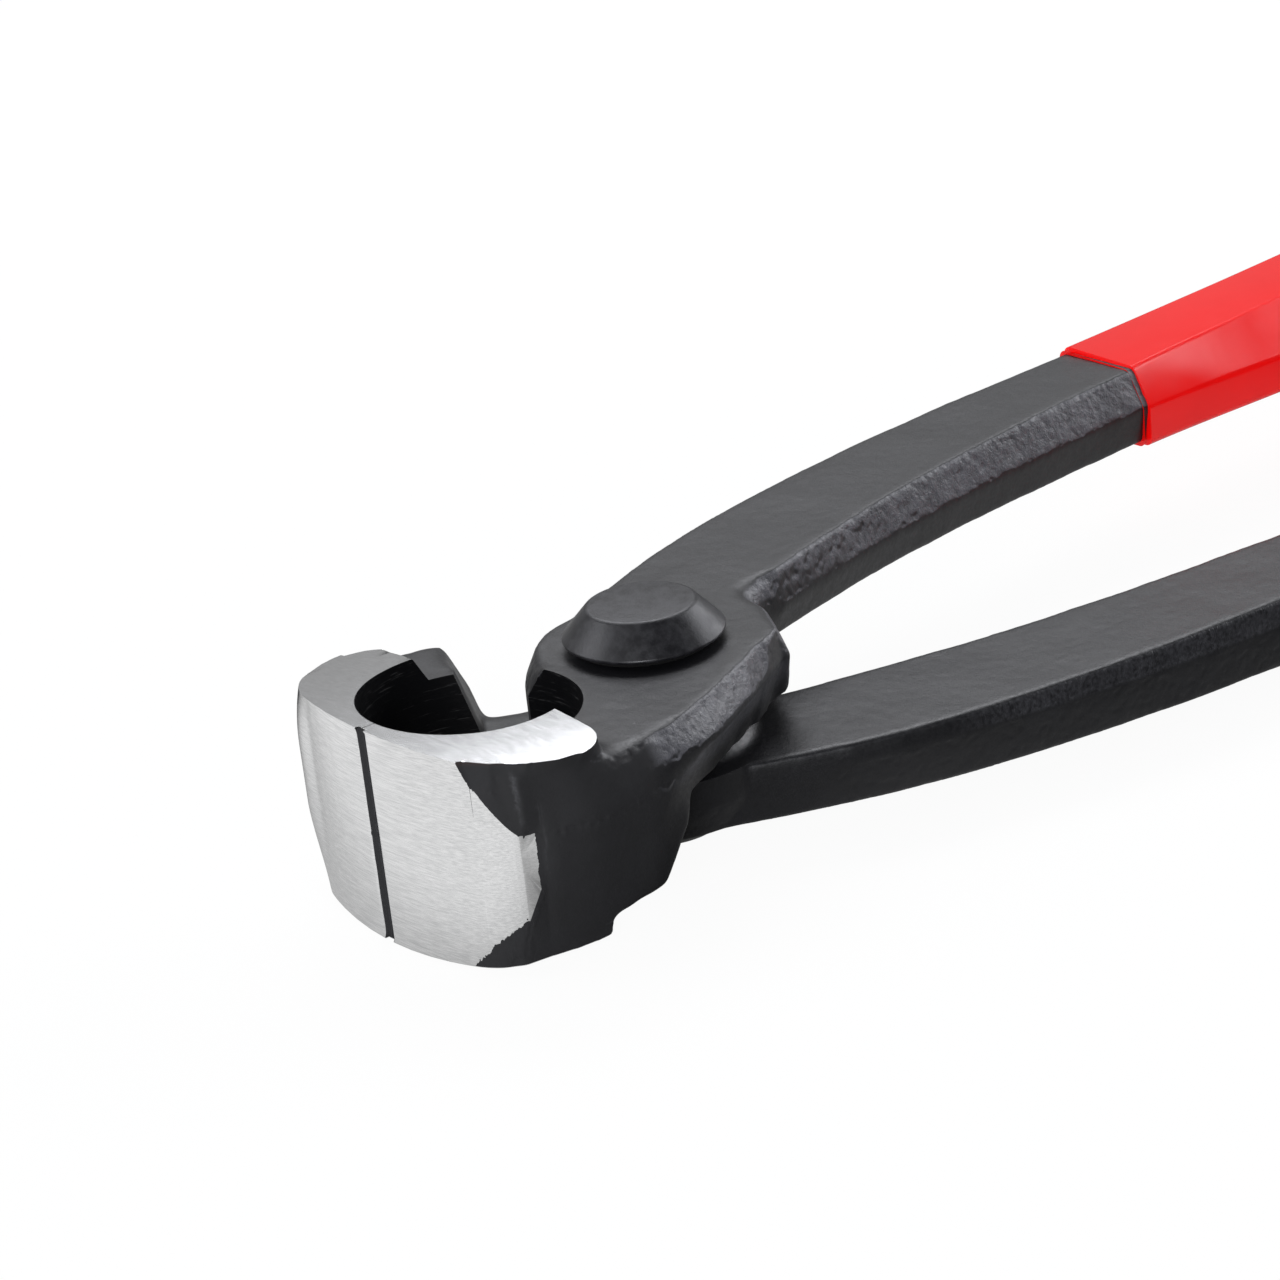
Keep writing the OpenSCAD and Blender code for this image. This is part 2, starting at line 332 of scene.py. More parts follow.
@dataclass(frozen=True)
class JawGrinding:
    """Ground faces of a forging's jaw, in the forging's millimetres."""

    reach: float = 33.494
    front_r: float = 43.0
    front_half_w: float = 12.3
    front_stop: float = -15.0
    groove_y: float = -0.75
    corner_r: float = 7.6
    corner_turn: float = math.radians(58)
    flat_run: tuple[float, float] = (1.9, -0.85)
    flat_w: float = 1.7
    # Height and slope of the flat's lower end
    flat_foot: tuple[float, float] = (-5.6, 2.3)
    half_h: float = 10.95
    crown_r: float = 182.0
    under_crown_r: float = 135.0
    crown_low: float = 9.0
    crown_end: float = -18.0
    crown_stop: float = -18.2
    room_r: float = 10.7
    room_stop: float = -8.0
    lip_wall: float = 1.75
    # Place across, height and slope of the lines where the corner's grinding ends
    top_line: tuple[float, float, float] = (-12.35, 10.9, 1.865)
    low_line: tuple[float, float, float] = (-14.74, -7.27, -0.997)
    fuller: float = 3.2
    part_z: float = 3.05
    slack: float = 0.1

    @property
    def front_centre(self) -> tuple[float, float]:
        """Centre of the front arc, seen from above."""
        return (self.front_r - self.reach, 0.0)

    @property
    def corner_centre(self) -> tuple[float, float]:
        """Centre of the corner arc, seen from above."""
        turn = math.asin(self.front_half_w / self.front_r)
        inner = self.front_r - self.corner_r
        return (self.front_centre[0] - inner * math.cos(turn), -inner * math.sin(turn))

    @property
    def flat_start(self) -> tuple[float, float]:
        """Edge where the narrow flat begins, seen from above."""
        x, y = self.corner_centre
        return (
            x - self.corner_r * math.cos(self.corner_turn),
            y - self.corner_r * math.sin(self.corner_turn),
        )

    @property
    def flat_normal(self) -> tuple[float, float]:
        """Outward direction of the narrow flat, seen from above."""
        run = math.hypot(*self.flat_run)
        return (self.flat_run[1] / run, -self.flat_run[0] / run)

    @property
    def room_x(self) -> float:
        """Place of the ear room's axis."""
        return -self.reach + self.lip_wall + self.room_r

    @property
    def flat_end(self) -> float:
        """Place where the narrow flat ends."""
        return self.flat_start[0] + self.flat_w - self.slack

    def slip(self, side: Side) -> float:
        """Returns how much further round the corner a side's grinding reaches."""
        return self.fuller if side is Side.LOWER else 0.0

    def nearest(self, p: np.ndarray, slip: float) -> tuple[np.ndarray, np.ndarray]:
        """Finds how far points lie from the ground faces.

        Args:
            p: Points in the forging's millimetres, one in each row.
            slip: Distance by which the grinding reaches further round the corner.

        Returns:
            The distance of each point from the nearest ground face, and its place on that face.
        """
        x, y, z = p.T
        best, place = np.full(len(p), np.inf), p.copy()

        def offer(gap: np.ndarray, valid: np.ndarray, spot: np.ndarray) -> None:
            """Keeps a face's places where they are the nearest so far.

            Args:
                gap: Distance of each point from the face.
                valid: Points that the face may take.
                spot: Place of each point on the face.
            """
            nearer = valid & (gap < best)
            best[nearer] = gap[nearer]
            place[nearer] = spot[nearer]

        def round_face(centre: tuple[float, float], radius: float, valid: np.ndarray) -> None:
            """Offers an upright round face.

            Args:
                centre: Its centre, seen from above.
                radius: Its radius.
                valid: Points that the face may take.
            """
            off = p[:, :2] - centre
            run = np.hypot(off[:, 0], off[:, 1]) + TINY
            spot = p.copy()
            spot[:, :2] = centre + off * (radius / run)[:, None]
            offer(np.abs(run - radius), valid, spot)

        corner_x, corner_y = self.flat_start
        turn_y = -self.front_half_w
        line_y, line_z, slope = self.top_line
        under = z < line_z + slope * (y - line_y + slip) + 2 * self.slack
        front = (x < self.front_stop) & (y > turn_y) & (y < self.groove_y)
        round_face(self.front_centre, self.front_r, front)
        corner = (x < corner_x + self.slack) & (y <= turn_y) & under
        round_face(self.corner_centre, self.corner_r, corner)
        round_face((self.room_x, 0.0), self.room_r, x < self.room_stop)
        for side, radius in ((1, self.crown_r), (-1, self.under_crown_r)):
            off_z = side * z + radius - self.half_h
            run = np.hypot(y, off_z)
            spot = p.copy()
            spot[:, 1] = y * radius / run
            spot[:, 2] = side * (off_z * radius / run - radius + self.half_h)
            offer(np.abs(run - radius), (side * z > self.crown_low) & (x < self.crown_end), spot)
        nx, ny = self.flat_normal
        gap = (x - corner_x) * nx + (y - corner_y) * ny
        spot = p.copy()
        spot[:, 0] -= gap * nx
        spot[:, 1] -= gap * ny
        flat = (x > corner_x - self.slack) & (x < corner_x + self.flat_w)
        flat &= (y < corner_y + self.slack) & (z < self.part_z + 2 * self.slack)
        offer(np.abs(gap), flat, spot)
        return best, place


@dataclass(frozen=True)
class ForgedSteel:
    """Black oxide forging skin with bare ground steel on the jaw, with lengths in millimetres."""

    skin: Colour = (0.0055, 0.0055, 0.0068, 1)
    # Paler colour of the scale on the draft band and the sheared band; on the draft band it is partly
    # painted light where the faces slope towards the lamps
    scale_and_painted_light: Colour = (0.078, 0.078, 0.088, 1)
    # Lighter colour of the rounded edges: partly wear, partly a painted highlight
    lighter_tone: Colour = (0.040, 0.040, 0.044, 1)
    bare: Colour = (0.60, 0.605, 0.61, 1)
    bare_streak: Colour = (0.80, 0.802, 0.805, 1)
    flat_grey: Colour = (0.40, 0.40, 0.40, 1)
    bore: Colour = (0.006, 0.006, 0.007, 1)
    bore_scratch: Colour = (0.10, 0.10, 0.10, 1)
    tint: Colour = (0.030, 0.012, 0.008, 1)
    skin_rough: tuple[float, float] = (0.36, 0.50)
    jaw_rough: float = 0.78
    bare_rough: tuple[float, float] = (0.16, 0.26)
    bore_rough: float = 0.36
    tint_share: float = 0.6
    flat_share: float = 0.45
    speck: Grain = Grain(0.42, depth=0.05)
    pits: Grain = Grain(0.9, 4.0, 0.65, depth=0.22)
    cloud: Grain = Grain(5.0, rough=0.5)
    cuts: Grain = Grain(0.4, run=(1.0, 0.07, 0.07), depth=0.16)
    brush: Grain = Grain(0.13, rough=0.7, run=(0.4, 0.04, 1.0), depth=0.008)
    turning: Grain = Grain(0.2, rough=0.7, run=(0.05, 0.05, 1.0), depth=0.07)
    # Share and bump of the brushing on the crowns and on upright faces
    brush_share: tuple[float, float] = (0.3, 1.0)
    brush_bump: tuple[float, float] = (0.06, 0.45)
    # Ragged limits of the grinding: at the corner's top and foot, at the ends and at the parting line
    tear: Grain = Grain(0.6)
    top_tear: float = 0.3
    low_tear: float = 1.6
    end_tear: float = 0.5
    part_tear: float = 0.4
    # Gap within which a face counts as ground, and lean below which it counts as upright
    bite: float = 0.05
    upper_bite: float = 0.15
    lower_bite: float = 1.6
    upright_lean: float = 0.16

    def material(self, side: Side, jaw: JawGrinding) -> bpy.types.Material:
        """Makes the material of one forging.

        Args:
            side: Which forging it dresses.
            jaw: Ground faces of the jaw.

        Returns:
            The material.
        """
        made, desk = new_material(f"forged_steel_{side.value}")
        where = desk.object_mm(side)
        axis = desk.split(where)
        normal = self.forging_normal(desk, side)
        lean = desk.math("ABSOLUTE", normal[2])
        upright = desk.less(lean, self.upright_lean)
        ground, bored, flat = self.zones(desk, where, side, jaw, upright)

        speck = desk.grain(where, self.speck)
        pits = desk.grain(where, self.pits)
        draft_scale_and_painted_light = self.draft_scale_and_painted_light(desk, normal, axis)
        sheared = self.sheared(desk, normal, axis)
        cuts = desk.grain(where, self.cuts)
        skin = self.skin_colour(desk, where, axis, (speck, pits), (draft_scale_and_painted_light, sheared))

        brush = desk.grain(where, self.brush)
        brush = desk.lerp(desk.lerp(upright, *self.brush_share), 0.5, brush)
        bare = desk.blend(desk.scale(brush, (0.0, 1.0), 0.34, 0.66), self.bare, self.bare_streak)
        bare = desk.blend(desk.times(flat, self.flat_share), bare, self.flat_grey)
        turning = desk.grain(where, self.turning)
        bore = desk.blend(desk.ease(turning, 0.60, 0.74), self.bore, self.bore_scratch)

        matt = desk.scale(speck, self.skin_rough)
        dull = desk.times(desk.ease(axis[0], -12.0, -15.5), desk.ease(lean, 0.62, 0.42))
        matt = desk.lerp(dull, matt, self.jaw_rough)
        rough = desk.lerp(ground, matt, desk.scale(brush, self.bare_rough))

        grained = desk.bump(speck, self.speck.depth, 0.40)
        pitted = desk.bump(pits, self.pits.depth, desk.times(draft_scale_and_painted_light, 0.6), grained)
        forged = desk.bump(cuts, self.cuts.depth, desk.times(sheared, 0.8), pitted)
        lines = desk.bump(brush, self.brush.depth, desk.lerp(upright, *self.brush_bump))
        rings = desk.bump(turning, self.turning.depth, 0.7)
        desk.principled(
            {
                "Base Color": desk.blend(bored, desk.blend(ground, skin, bare), bore),
                "Metallic": desk.lerp(bored, ground, 0.5),
                "Roughness": desk.lerp(bored, rough, self.bore_rough),
                "Normal": self.pick(desk, bored, self.pick(desk, ground, forged, lines), rings),
                "Specular IOR Level": 0.5,
            }
        )
        return made

    def skin_colour(
        self,
        desk: Desk,
        where: Socket,
        axis: Sequence[Socket],
        grains: tuple[Socket, Socket],
        bands: tuple[Socket, Socket],
    ) -> Socket:
        """Colours the forged skin.

        Args:
            desk: Desk of the material's nodes.
            where: Coordinates in the forging's millimetres.
            axis: The same coordinates by axis.
            grains: Fine grain and pits.
            bands: Shares of the rough draft band, which carries painted light, and of the sheared band.

        Returns:
            The colour.
        """
        speck, pits = grains
        draft_scale_and_painted_light, sheared = bands
        # Paler on the draft band: partly rough scale, partly painted light on the faces that slope towards
        # the lamps
        pale = desk.times(draft_scale_and_painted_light, desk.scale(pits, (0.60, 1.0), 0.36, 0.6))
        colour = desk.blend(pale, self.skin, self.scale_and_painted_light)
        shorn = desk.times(sheared, desk.scale(speck, (0.0, 0.30)))
        colour = desk.blend(shorn, colour, self.scale_and_painted_light)
        edge_wear_and_sheen = desk.put("ShaderNodeAttribute", attribute_name=EDGE_WEAR_AND_SHEEN).outputs["Fac"]
        # Lighter colour on the rounded edges: partly wear, partly a painted highlight
        rubbed_and_lit = desk.times(edge_wear_and_sheen, desk.scale(speck, (0.25, 1.0), 0.35))
        colour = desk.blend(rubbed_and_lit, colour, self.lighter_tone)
        beside_lip = desk.times(
            desk.ease(axis[2], 9.9, 10.6),
            desk.ease(axis[0], -16.5, -18.5),
            desk.ease(axis[1], -9.0, -11.0),
        )
        colour = desk.blend(desk.times(beside_lip, self.tint_share), colour, self.tint)
        shade = desk.scale(desk.grain(where, self.cloud), (0.82, 1.18))
        grey = desk.put("ShaderNodeCombineXYZ", {0: shade, 1: shade, 2: shade}).outputs[0]
        return desk.vector("MULTIPLY", colour, grey).outputs[0]

    @staticmethod
    def pick(desk: Desk, share: Socket, a: Socket, b: Socket) -> Socket:
        """Returns normal a turned to normal b by the share."""
        node = desk.put("ShaderNodeMix", {0: share, 4: a, 5: b}, data_type="VECTOR")
        return node.outputs[1]

    @staticmethod
    def forging_normal(desk: Desk, side: Side) -> Sequence[Socket]:
        """Finds the surface's own normal.

        Args:
            desk: Desk of the material's nodes.
            side: Forging in whose frame it is given.

        Returns:
            The normal by axis.
        """
        normal = desk.put("ShaderNodeTexCoord").outputs["Normal"]
        turned = desk.put("ShaderNodeMapping", {"Vector": normal, "Rotation": (side.turn, 0, 0)})
        return desk.split(turned.outputs["Vector"])

    @staticmethod
    def draft_scale_and_painted_light(desk: Desk, normal: Sequence[Socket], axis: Sequence[Socket]) -> Socket:
        """Finds the rough draft band on both sides of the parting line, whose paler colour is partly rough
        scale and partly painted light on faces that slope towards the lamps.

        Args:
            desk: Desk of the material's nodes.
            normal: Normal by axis.
            axis: Coordinates in the forging's millimetres by axis.

        Returns:
            The share of the band.
        """
        up = desk.times(
            desk.ease(normal[2], 0.16, 0.28),
            desk.ease(normal[2], 0.88, 0.78),
            desk.ease(axis[2], 3.2, 4.4),
        )
        down = desk.times(
            desk.ease(normal[2], -0.16, -0.28),
            desk.ease(normal[2], -0.80, -0.65),
            desk.ease(axis[2], 1.5, 4.0),
        )
        # Faces sloping down get less of the painted light than faces sloping up
        band = desk.math("MULTIPLY_ADD", down, 0.45, up)
        behind_jaw = desk.ease(axis[0], -15.0, -12.5)
        return desk.times(band, behind_jaw, desk.ease(normal[1], 0.25, 0.0))

    @staticmethod
    def sheared(desk: Desk, normal: Sequence[Socket], axis: Sequence[Socket]) -> Socket:
        """Finds the band on the handle's outer side where the flash was sheared off.

        Args:
            desk: Desk of the material's nodes.
            normal: Normal by axis.
            axis: Coordinates in the forging's millimetres by axis.

        Returns:
            The share of the band.
        """
        along_handle = desk.ease(axis[0], 18.0, 28.0)
        return desk.times(desk.ease(normal[1], 0.5, 0.8), along_handle, desk.ease(axis[2], 3.6, 3.0))

    def zones(
        self, desk: Desk, where: Socket, side: Side, jaw: JawGrinding, upright: Socket
    ) -> tuple[Socket, Socket, Socket]:
        """Finds the ground faces and the ear room's bore.

        Args:
            desk: Desk of the material's nodes.
            where: Coordinates in the forging's millimetres.
            side: Which forging it is.
            jaw: Ground faces of the jaw.
            upright: 1 where the surface stands upright.

        Returns:
            The share of bare ground steel, of bored wall, and of the narrow flat at the corner.
        """
        x, y, z = desk.split(where)
        plan = desk.stretch(where, (1, 1, 0))
        tear = desk.grain(where, self.tear)
        depth = self.lower_bite if side is Side.LOWER else self.upper_bite
        slip = jaw.slip(side)

        def near(gap: Socket, within: float = self.bite) -> Socket:
            """Returns 1 where a gap is within the depth of the grinding."""
            return desk.less(desk.math("ABSOLUTE", gap), within)

        def round_gap(centre: tuple[float, float], radius: float) -> Socket:
            """Returns the gap to an upright round face."""
            run = desk.vector("DISTANCE", plan, (*centre, 0)).outputs["Value"]
            return desk.math("SUBTRACT", run, radius)

        def torn(value: Socket, by: float) -> Socket:
            """Returns a value made ragged by up to a distance."""
            return desk.math("MULTIPLY_ADD", tear, by, value)

        def crown(sign: int, radius: float) -> Socket:
            """Finds the crowned face on one side.

            Args:
                sign: 1 for the upper side, -1 for the underside.
                radius: Radius of the crown.

            Returns:
                1 on the face.
            """
            high = desk.math("MULTIPLY", z, sign)
            across = desk.put("ShaderNodeCombineXYZ", {1: y, 2: high}).outputs[0]
            run = desk.vector("DISTANCE", across, (0, 0, jaw.half_h - radius)).outputs["Value"]
            outside = desk.more(high, jaw.crown_low)
            ahead = desk.less(torn(x, self.end_tear), jaw.crown_stop + self.end_tear / 2)
            return desk.times(near(desk.math("SUBTRACT", run, radius)), outside, ahead)

        def past_line(line: tuple[float, float, float], by: float) -> tuple[Socket, float]:
            """Finds where the surface lies to a sloped line.

            Args:
                line: Place across, height and slope of the line.
                by: Distance by which the limit is ragged.

            Returns:
                The ragged height, with the slope taken off, and the line's own.
            """
            line_y, line_z, slope = line
            height = torn(desk.math("MULTIPLY_ADD", y, -slope, z), by)
            return height, line_z - slope * (line_y - slip) + by / 2

        top = desk.less(*past_line(jaw.top_line, self.top_tear))
        low = desk.more(*past_line(jaw.low_line, self.low_tear))
        corner_x, corner_y = jaw.flat_start
        inner = desk.more(y, -jaw.front_half_w)
        front = desk.times(
            near(round_gap(jaw.front_centre, jaw.front_r), depth),
            desk.less(x, jaw.front_stop),
            inner,
            desk.less(y, jaw.groove_y + 0.01),
        )
        outer = desk.times(desk.math("SUBTRACT", 1.0, inner), desk.less(x, corner_x + 0.02))
        corner = desk.times(near(round_gap(jaw.corner_centre, jaw.corner_r), depth), outer)
        nx, ny = jaw.flat_normal
        plane = desk.vector("DOT_PRODUCT", plan, (nx, ny, 0)).outputs["Value"]
        foot_z, foot_slope = jaw.flat_foot
        flat = desk.times(
            near(desk.math("SUBTRACT", plane, corner_x * nx + corner_y * ny), depth),
            desk.more(x, corner_x),
            desk.less(torn(x, self.end_tear), jaw.flat_end),
            desk.less(y, corner_y + jaw.slack),
            desk.less(torn(z, self.part_tear), jaw.part_z + 2 * jaw.slack),
            desk.more(desk.math("MULTIPLY_ADD", x, -foot_slope, z), foot_z - foot_slope * corner_x),
        )
        faces = desk.math("MAXIMUM", desk.times(desk.math("MAXIMUM", front, corner), top), flat)
        crowns = desk.math("MAXIMUM", crown(1, jaw.crown_r), crown(-1, jaw.under_crown_r))
        ground = desk.math("MAXIMUM", desk.times(faces, low, upright), crowns)
        bored = desk.times(near(round_gap((jaw.room_x, 0.0), jaw.room_r)), desk.less(x, jaw.room_stop))
        return desk.math("SUBTRACT", ground, desk.times(ground, bored)), bored, flat


@dataclass(frozen=True)
class RivetSteel:
    """Dark burnished steel of the closed rivet with painted shade under the heads' rims; lengths in
    millimetres.
    """

    body: Colour = (0.010, 0.010, 0.012, 1)
    lighter_tone: Colour = (0.032, 0.032, 0.036, 1)
    # Painted shade: near-black colour on the heads' upright rims, where the undercut lies in shade
    undercut_shade: Colour = (0.0015, 0.0015, 0.0015, 1)
    # Height from the sliding faces below which the shade is painted
    rim_z: float = 9.25
    rough: tuple[float, float] = (0.34, 0.48)
    undercut_shade_rough: float = 0.95
    mottle: Grain = Grain(1.1, 4.0, depth=0.08)
    fine: Grain = Grain(0.3, depth=0.03)

    def material(self) -> bpy.types.Material:
        """Makes the rivet's material.

        Returns:
            The material.
        """
        made, desk = new_material("rivet_steel")
        where = desk.object_mm(Side.UPPER)
        mottle = desk.grain(where, self.mottle)
        fine = desk.grain(where, self.fine)
        colour = desk.blend(desk.scale(mottle, (0.0, 0.8), 0.4, 0.75), self.body, self.lighter_tone)
        # Painted shade below the rims: near-black colour and high roughness
        below = desk.less(desk.math("ABSOLUTE", desk.split(where)[2]), self.rim_z)
        mottled = desk.bump(mottle, self.mottle.depth, 0.3)
        desk.principled(
            {
                "Base Color": desk.blend(below, colour, self.undercut_shade),
                "Metallic": 0.2,
                "Roughness": desk.lerp(below, desk.scale(mottle, self.rough), self.undercut_shade_rough),
                "Normal": desk.bump(fine, self.fine.depth, 0.3, mottled),
                "Specular IOR Level": 0.5,
            }
        )
        return made


@dataclass(frozen=True)
class DippedPlastic:
    """Glossy red dip-moulded plastic, with lengths in millimetres."""

    red: Colour = (0.90, 0.004, 0.004, 1)
    deep: Colour = (0.84, 0.002, 0.002, 1)
    rough: tuple[float, float] = (0.16, 0.22)
    cloud: Grain = Grain(14.0, 2.0, 0.5)
    peel: Grain = Grain(2.4, 1.0, 0.5, depth=0.04)

    def material(self, side: Side) -> bpy.types.Material:
        """Makes the material of a sleeve.

        Args:
            side: Which handle's sleeve it dresses.

        Returns:
            The material.
        """
        made, desk = new_material(f"dipped_red_{side.value}")
        where = desk.object_mm(side)
        cloud = desk.grain(where, self.cloud)
        peel = desk.grain(where, self.peel)
        desk.principled(
            {
                "Base Color": desk.blend(desk.scale(cloud, (0.0, 1.0)), self.red, self.deep),
                "Roughness": desk.scale(peel, self.rough),
                "Normal": desk.bump(peel, self.peel.depth, 0.25),
                "Specular IOR Level": 0.34,
            }
        )
        return made


@dataclass(frozen=True)
class SeatRelief:
    """Ring cut back outside the joint's round seat, in the forging's millimetres."""

    seat_r: float = 8.2
    flank: float = 2.0
    ring_r: float = 20.0
    low_corner: tuple[float, float, float] = (-9.0, 2.0, -0.3)
    least: float = 0.2
    more: float = 1.75
    run: float = 72.0

    def apply(self, p: np.ndarray) -> None:
        """Cuts the ring back to the handle's relief.

        Args:
            p: Points of the forging, changed in place.
        """
        x, y, z = p.T
        away = np.hypot(x, y)
        relief = self.least + self.more * ramp(x, self.run, 0.0)
        floor = relief * smooth(ramp(away, self.seat_r, self.seat_r + self.flank))
        ring = (away > self.seat_r) & (away < self.ring_r)
        ring &= (p > self.low_corner).all(axis=1) & (z < relief)
        p[ring, 2] = np.maximum(z, floor)[ring]


@dataclass(frozen=True)
class LowerTrim:
    """What sets the lower forging apart from the upper one, in the forging's millimetres."""

    jaw: JawGrinding
    snap: float
    # Fuller corner: limits by angle in degrees and by height, and its size
    corner_x: float = -24.0
    corner_reach: float = 1.6
    corner_in: tuple[float, float] = (10.0, 44.0)
    corner_out: tuple[float, float] = (84.0, 62.0)
    corner_foot: tuple[float, float] = (-10.2, -4.0)
    corner_top: tuple[float, float] = (2.0, 10.5)
    fullness: float = 0.9
    drawn_in: float = 1.3
    # Wider shoulder: place along the jaw, and distance outwards below the step and above it
    shoulder: tuple[tuple[float, float, float], ...] = (
        (-31.0, 0.0, 0.0),
        (-29.3, 0.3, 0.3),
        (-27.3, 0.6, 0.5),
        (-25.2, 0.95, 0.8),
        (-23.4, 0.7, 0.6),
        (-21.8, 0.2, 0.7),
        (-20.5, 0.0, 1.3),
        (-19.2, -0.9, 1.5),
        (-14.0, -0.9, 1.6),
        (-11.0, 0.0, 1.0),
        (-8.0, 0.0, 0.0),
    )
    step_z: tuple[float, float] = (-8.2, -9.0)
    shoulder_z: tuple[float, float] = (2.5, -7.0)
    shoulder_y: tuple[float, float] = (-11.5, -15.0)
    # Slope behind the hook
    hook_x: tuple[float, float] = (-19.9, -10.0)
    hook_z: tuple[float, float] = (-10.4, -7.9)
    hook_slope: float = 1.9
    # Broken edge of the sliding face
    chip_x: tuple[float, float] = (-12.0, -1.0)
    chip_in: tuple[float, float] = (-12.0, -10.5)
    chip_out: tuple[float, float] = (-1.0, -4.0)
    chip_line: tuple[float, float, float] = (-9.0, -13.2, 0.58)
    chip_h: float = 3.0
    chip_least: float = 0.05
    chip_slope: float = 0.5

    def apply(self, p: np.ndarray) -> None:
        """Makes all the changes in order.

        Args:
            p: Points of the forging, changed in place.
        """
        self.fill_corner(p)
        self.widen_shoulder(p)
        self.break_edges(p)

    def fill_corner(self, p: np.ndarray) -> None:
        """Swells the ground corner at half height and draws it in at the top.

        Args:
            p: Points of the forging, changed in place.
        """
        x, _, z = p.T
        off = p[:, :2] - self.jaw.corner_centre
        run = np.hypot(off[:, 0], off[:, 1]) + TINY
        angle = np.degrees(np.arctan2(-off[:, 1], -off[:, 0]))
        near = (x < self.corner_x) & (np.abs(run - self.jaw.corner_r) < self.corner_reach)
        share = smooth(ramp(angle, *self.corner_in) * ramp(angle, *self.corner_out) * near)
        height = ramp(z, *self.corner_foot)
        bulge = self.fullness * height * (2 - height) - self.drawn_in * ramp(z, *self.corner_top) ** 1.5
        p[:, :2] += (bulge * share / run)[:, None] * off

    def crown_z(self, y: np.ndarray) -> np.ndarray:
        """Returns the height of the crowned underside at places across the jaw."""
        radius = self.jaw.under_crown_r
        return radius - self.jaw.half_h - np.sqrt(radius**2 - y**2)

    def widen_shoulder(self, p: np.ndarray) -> None:
        """Sets the jaw's side out below the parting line, with the crowned underside kept.

        Args:
            p: Points of the forging, changed in place.
        """
        x, y, z = p.T
        crowned = (np.abs(z - self.crown_z(y)) < self.snap) & (x < self.jaw.crown_end)
        below = ramp(z, *self.step_z)
        place, jaw_out, step_out = np.array(self.shoulder).T
        out = np.interp(x, place, step_out) * (1 - below) + np.interp(x, place, jaw_out) * below
        p[:, 1] -= out * ramp(z, *self.shoulder_z) * ramp(y, *self.shoulder_y)
        p[crowned, 2] = self.crown_z(y)[crowned]

    def break_edges(self, p: np.ndarray) -> None:
        """Slopes the back of the hook and breaks the sliding face's edge beside it.

        Args:
            p: Points of the forging, changed in place.
        """
        x, y, z = p.T
        hook_start, hook_end = self.hook_x
        low_z, high_z = self.hook_z
        behind = (x > hook_start) & (x < hook_end) & (z < high_z)
        p[behind, 2] = np.maximum(z, low_z + self.hook_slope * (x - hook_start))[behind]
        line_x, line_y, slope = self.chip_line
        start = line_y + slope * (x - line_x)
        rise = self.chip_slope * (start - y) * ramp(x, *self.chip_in) * ramp(x, *self.chip_out)
        chip_start, chip_end = self.chip_x
        edge = (z > 0) & (z < self.chip_h) & (y < start) & (x > chip_start) & (x < chip_end)
        p[edge, 2] = np.maximum(z, self.chip_least + rise)[edge]


@dataclass(frozen=True)
class SideBlend:
    """Blends the bends of the jaw's and the plate's side, in the forging's millimetres."""

    jaw: JawGrinding
    start_x: float = -28.5
    end_x: float = 4.0
    inner_y: float = -9.0
    half_h: float = 10.8
    facing: float = -0.4
    clear: float = 0.1
    fade: float = 1.4
    most: float = 0.9
    # Grid over length and height: its cell, its corner, its size and the blur on each axis
    cell: float = 0.3
    corner: tuple[float, float] = (-36.0, -15.0)
    cells: tuple[int, int] = (160, 100)
    blur: tuple[float, float] = (1.7, 0.45)
    blur_cells: int = 12
    least_fill: float = 1e-6

    def apply(self, p: np.ndarray, normals: np.ndarray, gap: np.ndarray, slip: float) -> None:
        """Moves the side towards its own mean over a neighbourhood.

        Args:
            p: Points of the forging, changed in place.
            normals: Normals of the points.
            gap: Distance of each point from the ground faces.
            slip: Distance by which the grinding reaches further round the corner.
        """
        x, y, z = p.T
        inside = (x > self.start_x) & (x < self.end_x) & (y < self.inner_y) & (np.abs(z) < self.half_h)
        side = np.nonzero(inside & (normals[:, 1] < self.facing) & (gap > self.clear))[0]
        across = [(p[side, axis] - low) / self.cell for axis, low in zip((0, 2), self.corner)]
        filled = self.spread(across, np.ones(len(side)))
        mean = self.spread(across, y[side]) / np.maximum(filled, self.least_fill)
        (i, s), (k, t) = ((np.floor(a - 0.5).astype(int), (a - 0.5) % 1) for a in across)
        near = (1 - t) * mean[i, k] + t * mean[i, k + 1]
        far = (1 - t) * mean[i + 1, k] + t * mean[i + 1, k + 1]
        held = (1 - s) * near + s * far
        line_y, line_z, slope = self.jaw.top_line
        over = (z - line_z - slope * (y - line_y + slip)) / math.hypot(1, slope)
        past = np.maximum(z - self.jaw.part_z, x - self.jaw.flat_end)
        away = np.minimum(np.where(x < self.jaw.flat_start[0], over, past), gap)
        share = ramp(away, self.clear, self.clear + self.fade) * ramp(x, self.end_x, 0.0)
        p[side, 1] += share[side] * np.clip(held - y[side], -self.most, self.most)

    def spread(self, across: Sequence[np.ndarray], weights: np.ndarray) -> np.ndarray:
        """Sums weights on the grid and blurs them, most along the lever.

        Args:
            across: Places on the grid along its two axes, in cells.
            weights: Weight at each place.

        Returns:
            The blurred grid.
        """
        grid = np.zeros(self.cells)
        np.add.at(grid, (across[0].astype(int), across[1].astype(int)), weights)
        steps = np.arange(-self.blur_cells, self.blur_cells + 1) * self.cell
        for axis, reach in enumerate(self.blur):
            bell = np.exp(-((steps / reach) ** 2) / 2)
            grid = np.apply_along_axis(np.convolve, axis, grid, bell / bell.sum(), "same")
        return grid


